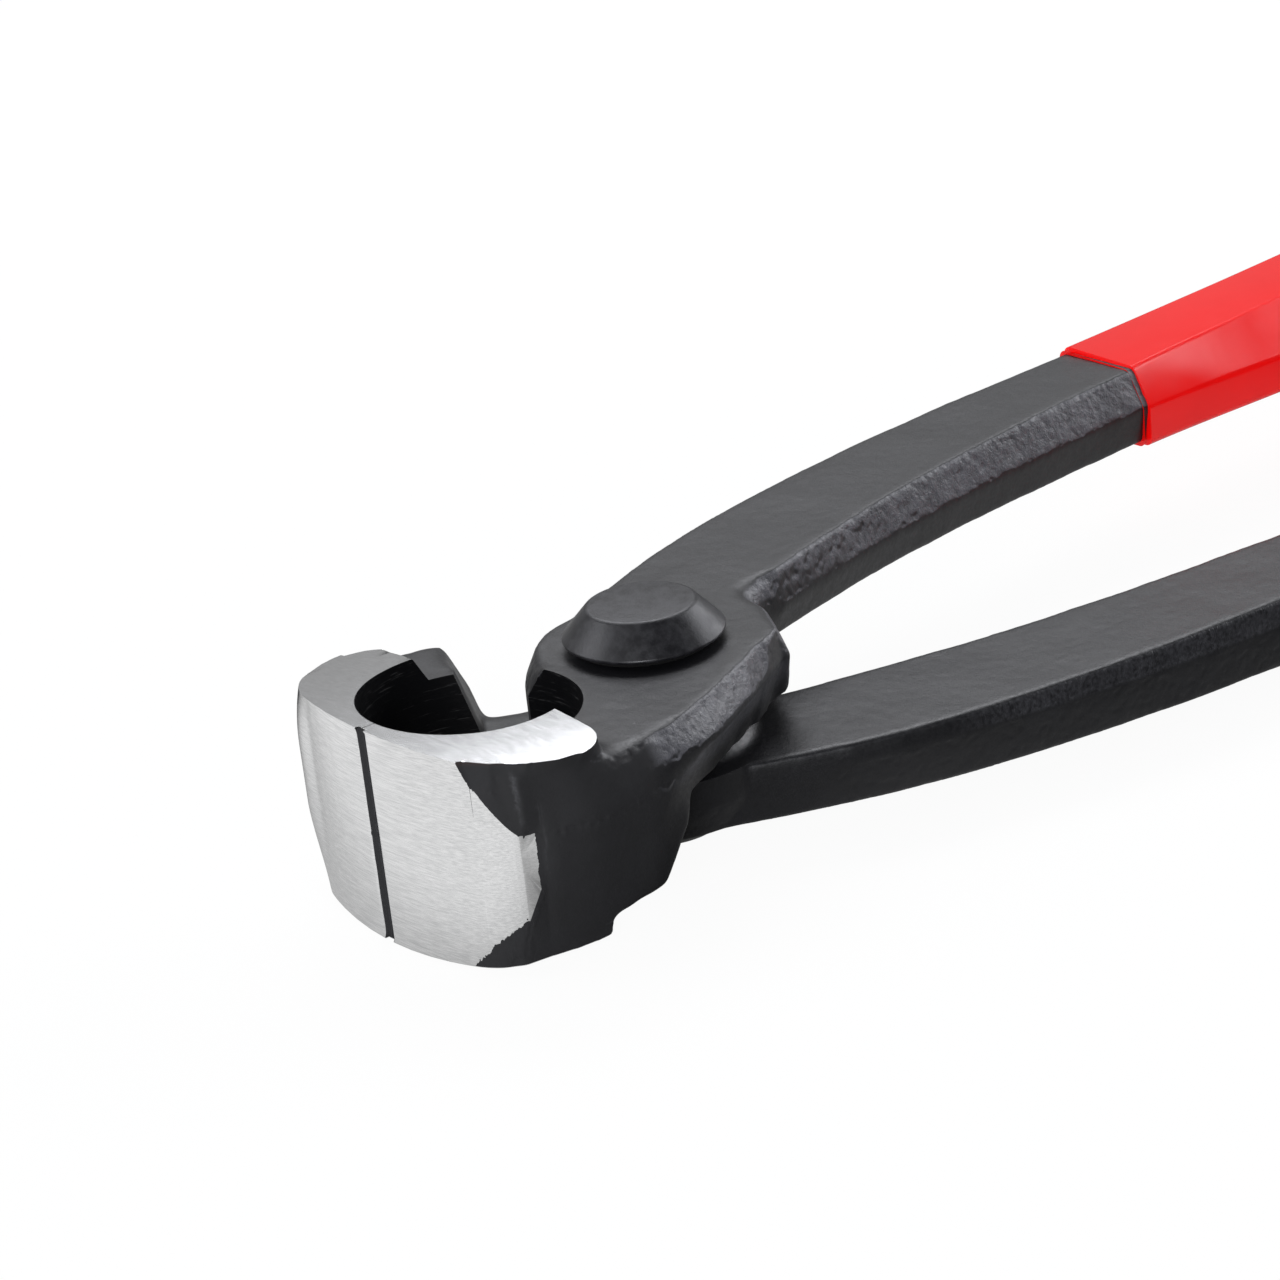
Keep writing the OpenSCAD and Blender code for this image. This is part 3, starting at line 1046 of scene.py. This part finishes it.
@dataclass
class Lever:
    """One forging: jaw, lap plate and handle, with lengths in the forging's millimetres."""

    side: Side
    jaw: JawGrinding
    relief: SeatRelief = SeatRelief()
    weld: float = 0.002
    depth: int = 10
    triangles: int = 186000
    snap: float = 0.09
    sharp: float = math.radians(40)
    bore_r: float = 5.6
    covered_x: float = 86.0
    grip_run: float = 2.0
    grip_draw: float = 0.4
    # Smoothing of the skin, by gap from the grinding, on the sliding face and its free places, and
    # at soft spots, each with its rounds, its centre and its reach
    edge_rounds: int = 14
    rounded_gap: tuple[float, float] = (0.15, 1.05)
    slide_rounds: int = 2
    slide_h: float = 0.2
    slide_end: float = 14.0
    slide_free: tuple[tuple[float, float, float], ...] = ((-8.0, -15.0, 6.0), (12.5, -5.5, 4.5))
    soft_fade: float = 1.6
    soft_spots: tuple[tuple[float, tuple[float, float, float], float], ...] = (
        (80, (-11.5, 4.5, 8.0), 6),
        (150, (-18.6, -18.8, -2.0), 9),
        (110, (-17.0, -19.0, 8.0), 5),
        (140, (-12.5, -19.5, 5.0), 6),
        (60, (-10.5, -17.0, 2.0), 6),
        (60, (13.5, -2.0, 6.5), 7),
        (260, (16.0, 0.8, 7.0), 5.5),
        (70, (-10.5, -16.0, -7.5), 7),
        (110, (-14.0, -16.5, -7.9), 6),
        (60, (-8.0, -14.5, 0.8), 5),
        (160, (12.5, -5.5, 0.5), 5),
    )
    # Wear and painted edge highlight by how far the rounding moved an edge, away from the grinding
    wear_and_sheen_move: tuple[float, float] = (0.04, 0.26)
    wear_and_sheen_gap: float = 0.3
    # Unevenness of the skin: gap from the grinding where it begins, and height and length of each kind
    rough_gap: tuple[float, float] = (0.2, 1.2)
    wave: tuple[float, float] = (0.06, 6.0)
    ripple: tuple[float, float] = (0.02, 1.1)
    pit: tuple[float, float] = (0.09, 0.8)
    dent: tuple[float, float] = (0.05, 2.5)
    flash: tuple[float, float] = (0.16, 0.7)
    # Where the pits lie, by lean and height, and where the flash does
    draft_lean: tuple[float, float] = (0.16, 0.84)
    draft_z: float = 3.6
    flash_h: float = 0.45
    flash_corner: tuple[float, float] = (-12.0, -15.0)
    flash_least: float = 0.05

    @property
    def slip(self) -> float:
        """Distance by which this lever's grinding reaches further round the corner."""
        return self.jaw.slip(self.side)

    def forge(self) -> bpy.types.Mesh:
        """Makes the forging's mesh from a copy of its CAD node.

        Returns:
            The mesh, in the row frame.
        """
        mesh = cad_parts[self.side.body].data.copy()
        shape = bmesh.new()
        shape.from_mesh(mesh)
        bmesh.ops.remove_doubles(shape, verts=shape.verts, dist=self.weld * MM)
        shape.to_mesh(mesh)
        shape.free()
        mesh = self.refine(mesh, "REMESH", mode="SHARP", octree_depth=self.depth, scale=0.99, sharpness=1.0)
        edge_wear_and_sheen = self.finish_skin(mesh)
        fine = self.points(mesh)
        share = self.triangles / (2 * len(mesh.polygons))
        mesh = self.refine(mesh, "DECIMATE", ratio=min(share, 1.0), use_collapse_triangulate=True)
        self.keep_wear_and_sheen(mesh, fine, edge_wear_and_sheen)
        return mesh

    @staticmethod
    def keep_wear_and_sheen(mesh: bpy.types.Mesh, fine: np.ndarray, edge_wear_and_sheen: np.ndarray) -> None:
        """Stores on the mesh how far its edges are rubbed and carry a painted highlight.

        Args:
            mesh: Mesh of the forging.
            fine: Points at which the wear and highlight are known.
            edge_wear_and_sheen: Wear and painted edge highlight at those points, from 0 to 1.
        """
        tree = KDTree(len(fine))
        for i, place in enumerate(fine):
            tree.insert(place, i)
        tree.balance()
        held = [float(edge_wear_and_sheen[tree.find(v.co)[1]]) for v in mesh.vertices]
        mesh.attributes.new(EDGE_WEAR_AND_SHEEN, "FLOAT", "POINT").data.foreach_set("value", held)

    @staticmethod
    def refine(mesh: bpy.types.Mesh, kind: str, **settings: object) -> bpy.types.Mesh:
        """Runs one modifier on a mesh.

        Args:
            mesh: Mesh to change.
            kind: Modifier's type.
            **settings: Properties of the modifier.

        Returns:
            The changed mesh, as a new one.
        """
        holder = add_object("blank", mesh)
        step = holder.modifiers.new("step", kind)
        for name, value in settings.items():
            setattr(step, name, value)
        graph = bpy.context.evaluated_depsgraph_get()
        made = bpy.data.meshes.new_from_object(holder.evaluated_get(graph))
        bpy.data.objects.remove(holder)
        return made

    def finish_skin(self, mesh: bpy.types.Mesh) -> np.ndarray:
        """Sets the ground faces true, rounds the forged edges and gives the skin its unevenness.

        Args:
            mesh: Fine mesh of the forging, in the row frame.

        Returns:
            How far each point lies on a rubbed edge, which also carries a painted highlight, from 0 to 1.
        """
        to_row = self.side.to_row()
        mesh.transform(to_row.inverted())
        p = self.points(mesh)
        gap, place = self.jaw.nearest(p, self.slip)
        true = gap < self.snap
        p[true] = place[true]
        if self.side is Side.LOWER:
            LowerTrim(self.jaw, self.snap).apply(p)
        self.relief.apply(p)
        self.move(mesh, p)
        SideBlend(self.jaw).apply(p, self.normals(mesh), gap, self.slip)
        self.move(mesh, p)
        normals = self.normals(mesh)
        rounds = self.rounds(p, gap)
        self.round_off(mesh, np.minimum(rounds, self.edge_rounds))
        rounded_away = ((p - self.points(mesh)) * normals).sum(axis=1)
        self.round_off(mesh, np.maximum(rounds - self.edge_rounds, 0))
        self.roughen(mesh, gap)
        self.draw_in_grip(mesh)
        mesh.transform(to_row)
        return ramp(rounded_away, *self.wear_and_sheen_move) * (gap > self.wear_and_sheen_gap)

    def round_off(self, mesh: bpy.types.Mesh, rounds: np.ndarray) -> None:
        """Smooths a mesh, each point as many times as it is given.

        Args:
            mesh: Mesh in the forging's millimetres.
            rounds: Number of rounds for each point.
        """
        ends = np.empty(2 * len(mesh.edges), np.int32)
        mesh.edges.foreach_get("vertices", ends)
        ends = ends.reshape(-1, 2)
        p = self.points(mesh)
        for step in range(int(rounds.max())):
            moving = rounds > step
            # The edges in use only get fewer, so they are picked again every few rounds
            if step % 4 == 0:
                ends = ends[moving[ends].any(axis=1)]
            a, b = ends.T
            total = np.bincount(a, minlength=len(p)) + np.bincount(b, minlength=len(p))
            mean = np.empty_like(p)
            for k in range(3):
                mean[:, k] = np.bincount(a, p[b, k], len(p)) + np.bincount(b, p[a, k], len(p))
            p[moving] += 0.5 * (mean[moving] / total[moving][:, None] - p[moving])
        self.move(mesh, p)

    @staticmethod
    def rows(data: bpy.types.bpy_prop_collection, name: str) -> np.ndarray:
        """Reads a vector of every item.

        Args:
            data: Items of a mesh.
            name: Name of the vector.

        Returns:
            The vectors, one in each row.
        """
        made = np.empty(3 * len(data), np.float32)
        data.foreach_get(name, made)
        return made.reshape(-1, 3).astype(float)

    def points(self, mesh: bpy.types.Mesh) -> np.ndarray:
        """Returns a mesh's points, one in each row."""
        return self.rows(mesh.vertices, "co")

    def normals(self, mesh: bpy.types.Mesh) -> np.ndarray:
        """Returns a mesh's point normals, one in each row."""
        return self.rows(mesh.vertex_normals, "vector")

    @staticmethod
    def move(mesh: bpy.types.Mesh, p: np.ndarray) -> None:
        """Moves a mesh's points to new places."""
        mesh.vertices.foreach_set("co", p.ravel())
        mesh.update()

    def rounds(self, p: np.ndarray, gap: np.ndarray) -> np.ndarray:
        """Finds how many times each point of the skin is smoothed.

        Args:
            p: Points in the forging's millimetres.
            gap: Distance of each point from the ground faces.

        Returns:
            The number of rounds for each point.
        """
        x, y, z = p.T
        rounds = np.full(len(p), float(self.edge_rounds))
        for count, centre, reach in self.soft_spots:
            away = np.linalg.norm(p - centre, axis=1) / reach
            rounds = np.maximum(rounds, count * np.clip(self.soft_fade * (1 - away), 0, 1))
        slide = (np.abs(z) < self.slide_h) & (x < self.slide_end)
        for free_x, free_y, reach in self.slide_free:
            slide &= np.hypot(x - free_x, y - free_y) > reach
        rounds[slide] = self.slide_rounds
        rounds[np.hypot(x, y) < self.bore_r] = 0
        return np.round(rounds * ramp(gap, *self.rounded_gap))

    def roughen(self, mesh: bpy.types.Mesh, gap: np.ndarray) -> None:
        """Presses shallow waves and pits into the forged skin.

        Args:
            mesh: Mesh in the forging's millimetres.
            gap: Distance of each point from the ground faces.
        """
        p = self.points(mesh)
        normals = self.normals(mesh)
        x, y, z = p.T
        open_skin = (x < self.covered_x - self.grip_run) & (np.hypot(x, y) > self.bore_r)
        skin = ramp(gap, *self.rough_gap) * open_skin
        least_lean, most_lean = self.draft_lean
        leaning = (normals[:, 2] > least_lean) & (normals[:, 2] < most_lean) & (z > self.draft_z)
        flash_x, flash_y = self.flash_corner
        flash = np.exp(-(((z - self.jaw.part_z) / self.flash_h) ** 2)) * (x < flash_x) * (y < flash_y)

        def uneven(kind: tuple[float, float], spot: Vector, less: float = 0.0) -> float:
            """Returns one kind's height at a spot."""
            height, length = kind
            return height * (noise.noise(spot / length) - less)

        for i in np.nonzero(skin > 0)[0]:
            spot = Vector(p[i])
            wave = uneven(self.wave, spot, 0.5) + uneven(self.ripple, spot)
            if leaning[i]:
                wave -= max(0.0, uneven(self.pit, spot, 0.02)) + uneven(self.dent, spot)
            if flash[i] > self.flash_least:
                wave += flash[i] * uneven(self.flash, spot)
            p[i] += normals[i] * (wave * skin[i])
        self.move(mesh, p)

    def draw_in_grip(self, mesh: bpy.types.Mesh) -> None:
        """Draws the handle in where its sleeve covers it.

        Args:
            mesh: Mesh in the forging's millimetres.
        """
        p = self.points(mesh)
        depth = self.grip_draw * ramp(p[:, 0], self.covered_x, self.covered_x + self.grip_run)
        self.move(mesh, p - depth[:, None] * self.normals(mesh))

    def build(self, finish: ForgedSteel) -> bpy.types.Object:
        """Makes the lever's piece.

        Args:
            finish: Finish of the steel.

        Returns:
            The piece.
        """
        mesh = self.forge()
        dress(mesh, finish.material(self.side, self.jaw), self.sharp)
        piece = add_piece(f"{self.side.body}_forging", mesh, self.side.body)
        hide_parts(self.side.body)
        return piece


def dress(mesh: bpy.types.Mesh, material: bpy.types.Material, sharp: float | None = None) -> None:
    """Shades a mesh smooth and gives it its only material.

    Args:
        mesh: Mesh to dress.
        material: Material of the mesh.
        sharp: Angle above which an edge stays sharp, if any does.
    """
    mesh.polygons.foreach_set("use_smooth", [True] * len(mesh.polygons))
    if sharp is not None:
        mesh.set_sharp_from_angle(angle=sharp)
    mesh.materials.clear()
    mesh.materials.append(material)


def add_piece(name: str, mesh: bpy.types.Mesh, body: str) -> bpy.types.Object:
    """Puts a mesh in the scene as a piece of a CAD body.

    Args:
        name: Name of the piece.
        mesh: Mesh in the row frame.
        body: CAD body that it rides on.

    Returns:
        The piece.
    """
    piece = add_object(name, mesh)
    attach(piece, body)
    LOG.info("%s: %d faces", name, len(mesh.polygons))
    return piece


@dataclass
class Rivet:
    """Rivet with a tall upper head and a flatter lower one, in millimetres."""

    air: float = 0.05
    shank_r: float = 5.0
    foot_r: float = 6.7
    rim_r: float = 8.15
    flat_r: float = 5.4
    rim_h: float = 1.0
    head_h: float = 4.05
    low_head_h: float = 2.7
    edge: float = 0.3
    edge_steps: int = 5
    steps: int = 128
    weld: float = 0.001

    @property
    def seat(self) -> float:
        """Height of each head's underside from the sliding faces."""
        return PLATE_T + self.air

    def head(self, height: float) -> list[tuple[float, float]]:
        """Outlines half a head.

        Args:
            height: Height of the head over its seat.

        Returns:
            Radius and height at each corner, from the head's top down to the shank.
        """
        return [
            (0, self.seat + height),
            (self.flat_r, self.seat + height),
            (self.rim_r, self.seat + self.rim_h),
            (self.foot_r, self.seat),
            (self.shank_r, self.seat),
        ]

    def is_rim(self, edge: bmesh.types.BMEdge) -> bool:
        """Tells whether an edge runs round one of the heads.

        Args:
            edge: Edge of the turned shape.

        Returns:
            True for an edge of a head's top, rim or foot.
        """
        a, b = (vert.co for vert in edge.verts)
        level = abs(a.z - b.z) < self.weld and abs(a.z) > self.seat - 0.01
        return level and a.xy.length > self.shank_r + 0.1 and abs(a.xy.length - b.xy.length) < self.weld

    def build(self, finish: RivetSteel) -> bpy.types.Object:
        """Makes the rivet's piece.

        Args:
            finish: Finish of the steel.

        Returns:
            The piece.
        """
        shape = bmesh.new()
        low = [(r, -z) for r, z in reversed(self.head(self.low_head_h))]
        verts = [shape.verts.new((r, 0, z)) for r, z in self.head(self.head_h) + low]
        edges = [shape.edges.new(pair) for pair in zip(verts, verts[1:])]
        bmesh.ops.spin(
            shape,
            geom=verts + edges,
            cent=(0, 0, 0),
            axis=(0, 0, 1),
            angle=math.tau,
            steps=self.steps,
            use_merge=True,
        )
        bmesh.ops.remove_doubles(shape, verts=shape.verts, dist=self.weld)
        bmesh.ops.recalc_face_normals(shape, faces=shape.faces)
        bmesh.ops.bevel(
            shape,
            geom=[edge for edge in shape.edges if self.is_rim(edge)],
            offset=self.edge,
            affect="EDGES",
            segments=self.edge_steps,
            profile=0.5,
            material=-1,
            clamp_overlap=True,
        )
        mesh = to_mesh("rivet_closed", shape)
        mesh.transform(Side.UPPER.to_row())
        dress(mesh, finish.material())
        piece = add_piece("rivet_closed", mesh, Side.UPPER.body)
        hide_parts("rivet")
        return piece


@dataclass
class GripSleeve:
    """Dip-moulded sleeve on a handle, in the forging's millimetres."""

    side: Side
    mouth_x: float = 81.6
    end_x: float = 184.0
    cap: float = 2.5
    wall: float = 0.9
    gap: float = 0.05
    # Section of the handle
    handle_t: float = 8.2
    top_drop: float = 0.03
    least_half_t: float = 1.0
    belly_share: float = 0.37
    parting_share: float = 0.52
    bulge: float = 1.1
    foot_bulge: float = 0.75
    foot_in: float = 0.65
    bevel: float = 2.6
    bevel_more: float = 5.0
    bevel_run: float = 38.0
    corner_r: float = 1.7
    corner_run: float = 1.2
    corner_steps: int = 5
    # Rolled lip at the mouth, with its turns in degrees
    lip_turns: tuple[int, ...] = (80, 60, 35, 10)
    lip_run: float = 0.8
    lip_roll: float = 0.9
    lip_len: float = 0.9
    lip_in: float = 0.12
    # Rounded end, with its turns in degrees and the turn at which it would be closed
    end_round: float = 4.0
    end_turns: tuple[int, ...] = (10, 20, 30, 40, 50, 60, 70)
    end_stop: float = 75.0
    rings: int = 46
    sharp: float = math.radians(50)
    # Handle's edges: place before the sleeve, then shares of the sleeve's run
    root: tuple[float, float, float] = (60.0, 26.05, 12.4)
    edges: tuple[tuple[float, float, float], ...] = (
        (0.0, 27.3, 14.8),
        (0.24, 29.2, 14.8),
        (0.57, 32.0, 15.0),
        (1.0, 31.5, 15.0),
    )

    def stations(self) -> np.ndarray:
        """Returns the handle's rows of distance, outer edge and inner parting line."""
        run = self.end_x - self.mouth_x
        return np.array([self.root, *((self.mouth_x + s * run, out, inn) for s, out, inn in self.edges)])

    def along(self, x: float, column: int) -> float:
        """Reads a column of the stations between its rows.

        Args:
            x: Place along the handle.
            column: Column's number.

        Returns:
            The value at the place, on a cubic through the rows.
        """
        rows = self.stations()
        i = int(np.clip(np.searchsorted(rows[:, 0], x, side="right") - 1, 0, len(rows) - 2))

        def slope(k: int) -> float:
            """Returns the slope at a row."""
            a, b = max(k - 1, 0), min(k + 1, len(rows) - 1)
            return (rows[b, column] - rows[a, column]) / (rows[b, 0] - rows[a, 0])

        h = rows[i + 1, 0] - rows[i, 0]
        t = (x - rows[i, 0]) / h
        return (
            (2 * t**3 - 3 * t**2 + 1) * rows[i, column]
            + (t**3 - 2 * t**2 + t) * h * slope(i)
            + (3 * t**2 - 2 * t**3) * rows[i + 1, column]
            + (t**3 - t**2) * h * slope(i + 1)
        )

    def section(self, x: float, grow: float, draw_in: float = 0.0, at: float | None = None) -> list[Vector]:
        """Outlines the sleeve at a place on the handle.

        Args:
            x: Place along the handle whose outline is taken.
            grow: Distance outwards from the handle.
            draw_in: Distance inwards, at the rounded end.
            at: Place where the outline stands, if not x.

        Returns:
            Points round the outline, with rounded corners.
        """
        outer = self.along(x, 1) + grow - draw_in
        inner = self.along(x, 2) - grow + draw_in
        foot = PLATE_T - self.handle_t
        sink = min(draw_in, self.handle_t / 2 - self.least_half_t)
        low = foot - grow + sink
        top = PLATE_T - self.top_drop + grow - sink
        widening = min(max(x - self.mouth_x, 0) / self.bevel_run, 1)
        corners = [
            Vector((outer, top)),
            Vector((outer + self.bulge, foot + self.belly_share * self.handle_t)),
            Vector((outer + self.foot_bulge * self.bulge, low)),
            Vector((inner + self.foot_in, low)),
            Vector((inner, foot + self.parting_share * self.handle_t)),
            Vector((inner + self.bevel + self.bevel_more * widening, top)),
        ]
        ring = []
        place = x if at is None else at
        for k, corner in enumerate(corners):
            back = (corners[k - 1] - corner).normalized()
            ahead = (corners[(k + 1) % len(corners)] - corner).normalized()
            half = back.angle(ahead) / 2
            radius = min(self.corner_r, self.corner_run * math.tan(half))
            centre = corner + (back + ahead).normalized() * (radius / math.sin(half))
            first = corner + back * (radius / math.tan(half)) - centre
            last = corner + ahead * (radius / math.tan(half)) - centre
            for step in range(self.corner_steps + 1):
                y, z = centre + first.slerp(last, step / self.corner_steps)
                ring.append(Vector((place, y, z)))
        return ring

    def outer_rings(self) -> list[list[Vector]]:
        """Outlines the outside.

        Returns:
            Its rings, from the rolled lip to the rounded end.
        """
        grow = self.gap + self.wall
        rings = []
        for turn in map(math.radians, self.lip_turns):
            x = self.mouth_x + self.wall * (1 - math.sin(turn)) * self.lip_run
            rings.append(self.section(x, self.gap + self.wall * (1 - math.cos(turn) * self.lip_roll)))
        first = self.mouth_x + self.lip_len
        body_end = self.end_x - self.end_round
        for k in range(self.rings + 1):
            rings.append(self.section(first + (body_end - first) * k / self.rings, grow))
        reach = (self.end_x + self.cap - body_end) / math.sin(math.radians(self.end_stop))
        for turn in map(math.radians, self.end_turns):
            draw_in = self.end_round * (1 - math.cos(turn))
            rings.append(self.section(body_end, grow, draw_in, body_end + reach * math.sin(turn)))
        return rings

    def inner_rings(self) -> list[list[Vector]]:
        """Outlines the inside.

        Returns:
            Its rings, from the lip to the closed end.
        """
        stop = self.end_x - self.end_round
        places = np.linspace(self.mouth_x + self.lip_in, stop, self.rings // 2)
        return [self.section(float(x), self.gap) for x in places]

    @staticmethod
    def draw(shape: bmesh.types.BMesh, loop: Loop, ring: list[Vector]) -> Loop:
        """Extrudes a loop to the next ring.

        Args:
            shape: Mesh being built.
            loop: Points of the last loop, in order.
            ring: Places of the new points, in the same order.

        Returns:
            The new loop's points, in order.
        """
        edges = [shape.edges.get((a, b)) for a, b in zip(loop, loop[1:] + loop[:1])]
        grown = bmesh.ops.extrude_edge_only(shape, edges=edges)["geom"]
        fresh = {v for v in grown if isinstance(v, bmesh.types.BMVert)}
        made = []
        for old, place in zip(loop, ring):
            new = next(e.other_vert(old) for e in old.link_edges if e.other_vert(old) in fresh)
            new.co = place
            made.append(new)
        return made

    def build(self, finish: DippedPlastic) -> bpy.types.Object:
        """Makes the sleeve's piece.

        Args:
            finish: Finish of the plastic.

        Returns:
            The piece.
        """
        shape = bmesh.new()
        lip, *outside = self.outer_rings()
        first = [shape.verts.new(place) for place in lip]
        for pair in zip(first, first[1:] + first[:1]):
            shape.edges.new(pair)
        for rings in (outside, self.inner_rings()):
            loop = first
            for ring in rings:
                loop = self.draw(shape, loop, ring)
            shape.faces.new(loop)
        bmesh.ops.recalc_face_normals(shape, faces=shape.faces)
        name = f"{self.side.value}_sleeve"
        mesh = to_mesh(name, shape)
        mesh.transform(self.side.to_row())
        dress(mesh, finish.material(self.side), self.sharp)
        piece = add_piece(name, mesh, self.side.body)
        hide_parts(f"{self.side.value}_grip_sleeve")
        return piece


@dataclass(frozen=True)
class Softbox:
    """Large soft lamp that looks at the joint."""

    name: str
    place: tuple[float, float, float]
    size: tuple[float, float]
    watts: float
    tint: tuple[float, float, float] = (0.94, 0.955, 1.0)

    def hang(self) -> None:
        """Hangs the lamp in its place."""
        lamp = bpy.data.lights.new(self.name, "AREA")
        lamp.shape = "RECTANGLE"
        lamp.size, lamp.size_y = self.size
        lamp.energy = self.watts
        lamp.color = self.tint
        hung = add_object(self.name, lamp)
        hung.location = self.place
        hung.rotation_euler = (-Vector(self.place)).to_track_quat("-Z", "Y").to_euler()


@dataclass
class Studio:
    """Pale floor, soft light and the camera, in metres."""

    camera_place: tuple[float, float, float] = (-0.219201, -0.305580, 0.163532)
    right: tuple[float, float, float] = (0.78184, -0.61405, -0.10792)
    up: tuple[float, float, float] = (0.31517, 0.23991, 0.91820)
    back: tuple[float, float, float] = (-0.53794, -0.75191, 0.38111)
    lens: float = 118.0
    sensor: float = 36.0
    clip: tuple[float, float] = (0.01, 20.0)
    floor_half: float = 4.0
    floor_grey: Colour = (0.86, 0.86, 0.86, 1)
    floor_glow: float = 0.95
    # Floor's brightness to mirrored rays: ahead of the jaws, beside the joint, and below the handles and
    # beyond, with the places where one turns to the next
    floor_shine: tuple[float, float, float] = (0.95, 0.06, 0.55)
    jaw_fade: tuple[float, float] = (-0.052, -0.008)
    handle_side: tuple[float, float] = (-0.045, -0.012)
    handle_start: tuple[float, float] = (-0.012, 0.02)
    handle_end: tuple[float, float] = (0.15, 0.10)
    # Surround's brightness low and high, and the share of it that the dark card leaves
    ambient: tuple[float, float] = (0.34, 0.40)
    ambient_fade: tuple[float, float] = (0.18, 0.60)
    card_way: tuple[float, float, float] = (0.36, -0.91, 0.20)
    card_fade: tuple[float, float] = (0.05, 0.55)
    card_share: float = 0.12
    lamps: tuple[Softbox, ...] = (
        Softbox("right", (1.00, -0.10, 0.40), (0.75, 0.60), 6.6),
        Softbox("back", (0.435, 0.625, 0.865), (0.90, 0.45), 7.4),
        Softbox("back_left", (-0.72, 0.62, 0.62), (0.70, 0.50), 4.5),
        Softbox("front", (-0.80, -0.72, 0.42), (0.50, 0.50), 9.5),
    )

    def floor_material(self) -> bpy.types.Material:
        """Makes the floor's material, which keeps the shadow.

        Returns:
            The material: white to the camera, a gradient to mirrored rays and pale grey otherwise.
        """
        made, desk = new_material("floor_white")
        matte = desk.put("ShaderNodeBsdfDiffuse", {"Color": self.floor_grey})
        where = desk.put("ShaderNodeTexCoord").outputs["Object"]
        along, over, _ = desk.split(where)
        path = desk.put("ShaderNodeLightPath").outputs
        ahead, beside, behind = self.floor_shine
        shine = desk.lerp(desk.ease(along, *self.jaw_fade), ahead, beside)
        handle = desk.times(
            desk.ease(over, *self.handle_side),
            desk.ease(along, *self.handle_start),
            desk.ease(along, *self.handle_end),
        )
        shine = desk.lerp(handle, shine, behind)
        strength = desk.lerp(path["Is Camera Ray"], shine, 1.0)
        glow = desk.put("ShaderNodeEmission", {"Color": WHITE, "Strength": strength})
        share = desk.math("MULTIPLY_ADD", path["Is Camera Ray"], self.floor_glow, path["Is Glossy Ray"])
        desk.surface(desk.put("ShaderNodeMixShader", {0: share, 1: matte.outputs[0], 2: glow.outputs[0]}))
        return made

    def lay_floor(self) -> None:
        """Lays the pale floor."""
        shape = bmesh.new()
        bmesh.ops.create_grid(shape, x_segments=1, y_segments=1, size=self.floor_half)
        mesh = to_mesh("floor", shape)
        mesh.materials.append(self.floor_material())
        add_object("floor", mesh)

    def set_world(self) -> None:
        """Sets a white surround for the camera, and a soft light with a dark card at the front right."""
        world = bpy.data.worlds.new("studio")
        bpy.context.scene.world = world
        world.use_nodes = True
        desk = Desk(world.node_tree)
        way = desk.put("ShaderNodeTexCoord").outputs["Generated"]
        soft = desk.lerp(desk.ease(desk.split(way)[2], *self.ambient_fade), *self.ambient)
        ahead = desk.vector("DOT_PRODUCT", way, self.card_way).outputs["Value"]
        soft = desk.times(soft, desk.lerp(desk.ease(ahead, *self.card_fade), 1.0, self.card_share))
        seen = desk.put("ShaderNodeLightPath").outputs["Is Camera Ray"]
        strength = desk.lerp(seen, soft, 1.0)
        sky = desk.put("ShaderNodeBackground", {"Color": WHITE, "Strength": strength})
        desk.put("ShaderNodeOutputWorld", {"Surface": sky.outputs[0]})

    def place_camera(self) -> None:
        """Places the camera at the photograph's viewing angle."""
        lens = bpy.data.cameras.new("camera")
        lens.lens = self.lens
        lens.sensor_width = self.sensor
        lens.clip_start, lens.clip_end = self.clip
        camera = add_object("camera", lens)
        turned = Matrix((self.right, self.up, self.back)).transposed().to_4x4()
        place = Vector(self.camera_place) + Vector((0, 0, MID_Z * MM))
        camera.matrix_world = Matrix.Translation(place) @ turned
        bpy.context.scene.camera = camera

    def build(self) -> None:
        """Builds the studio and sets the plain view transform."""
        self.place_camera()
        self.lay_floor()
        self.set_world()
        for lamp in self.lamps:
            lamp.hang()
        bpy.context.scene.view_settings.view_transform = "Standard"


def main() -> None:
    """Builds the studio and the pieces in order."""
    Studio().build()
    jaw = JawGrinding()
    steel = ForgedSteel()
    for side in Side:
        Lever(side, jaw).build(steel)
    Rivet().build(RivetSteel())
    plastic = DippedPlastic()
    for side in Side:
        GripSleeve(side).build(plastic)


if __name__ == "__main__":
    main()
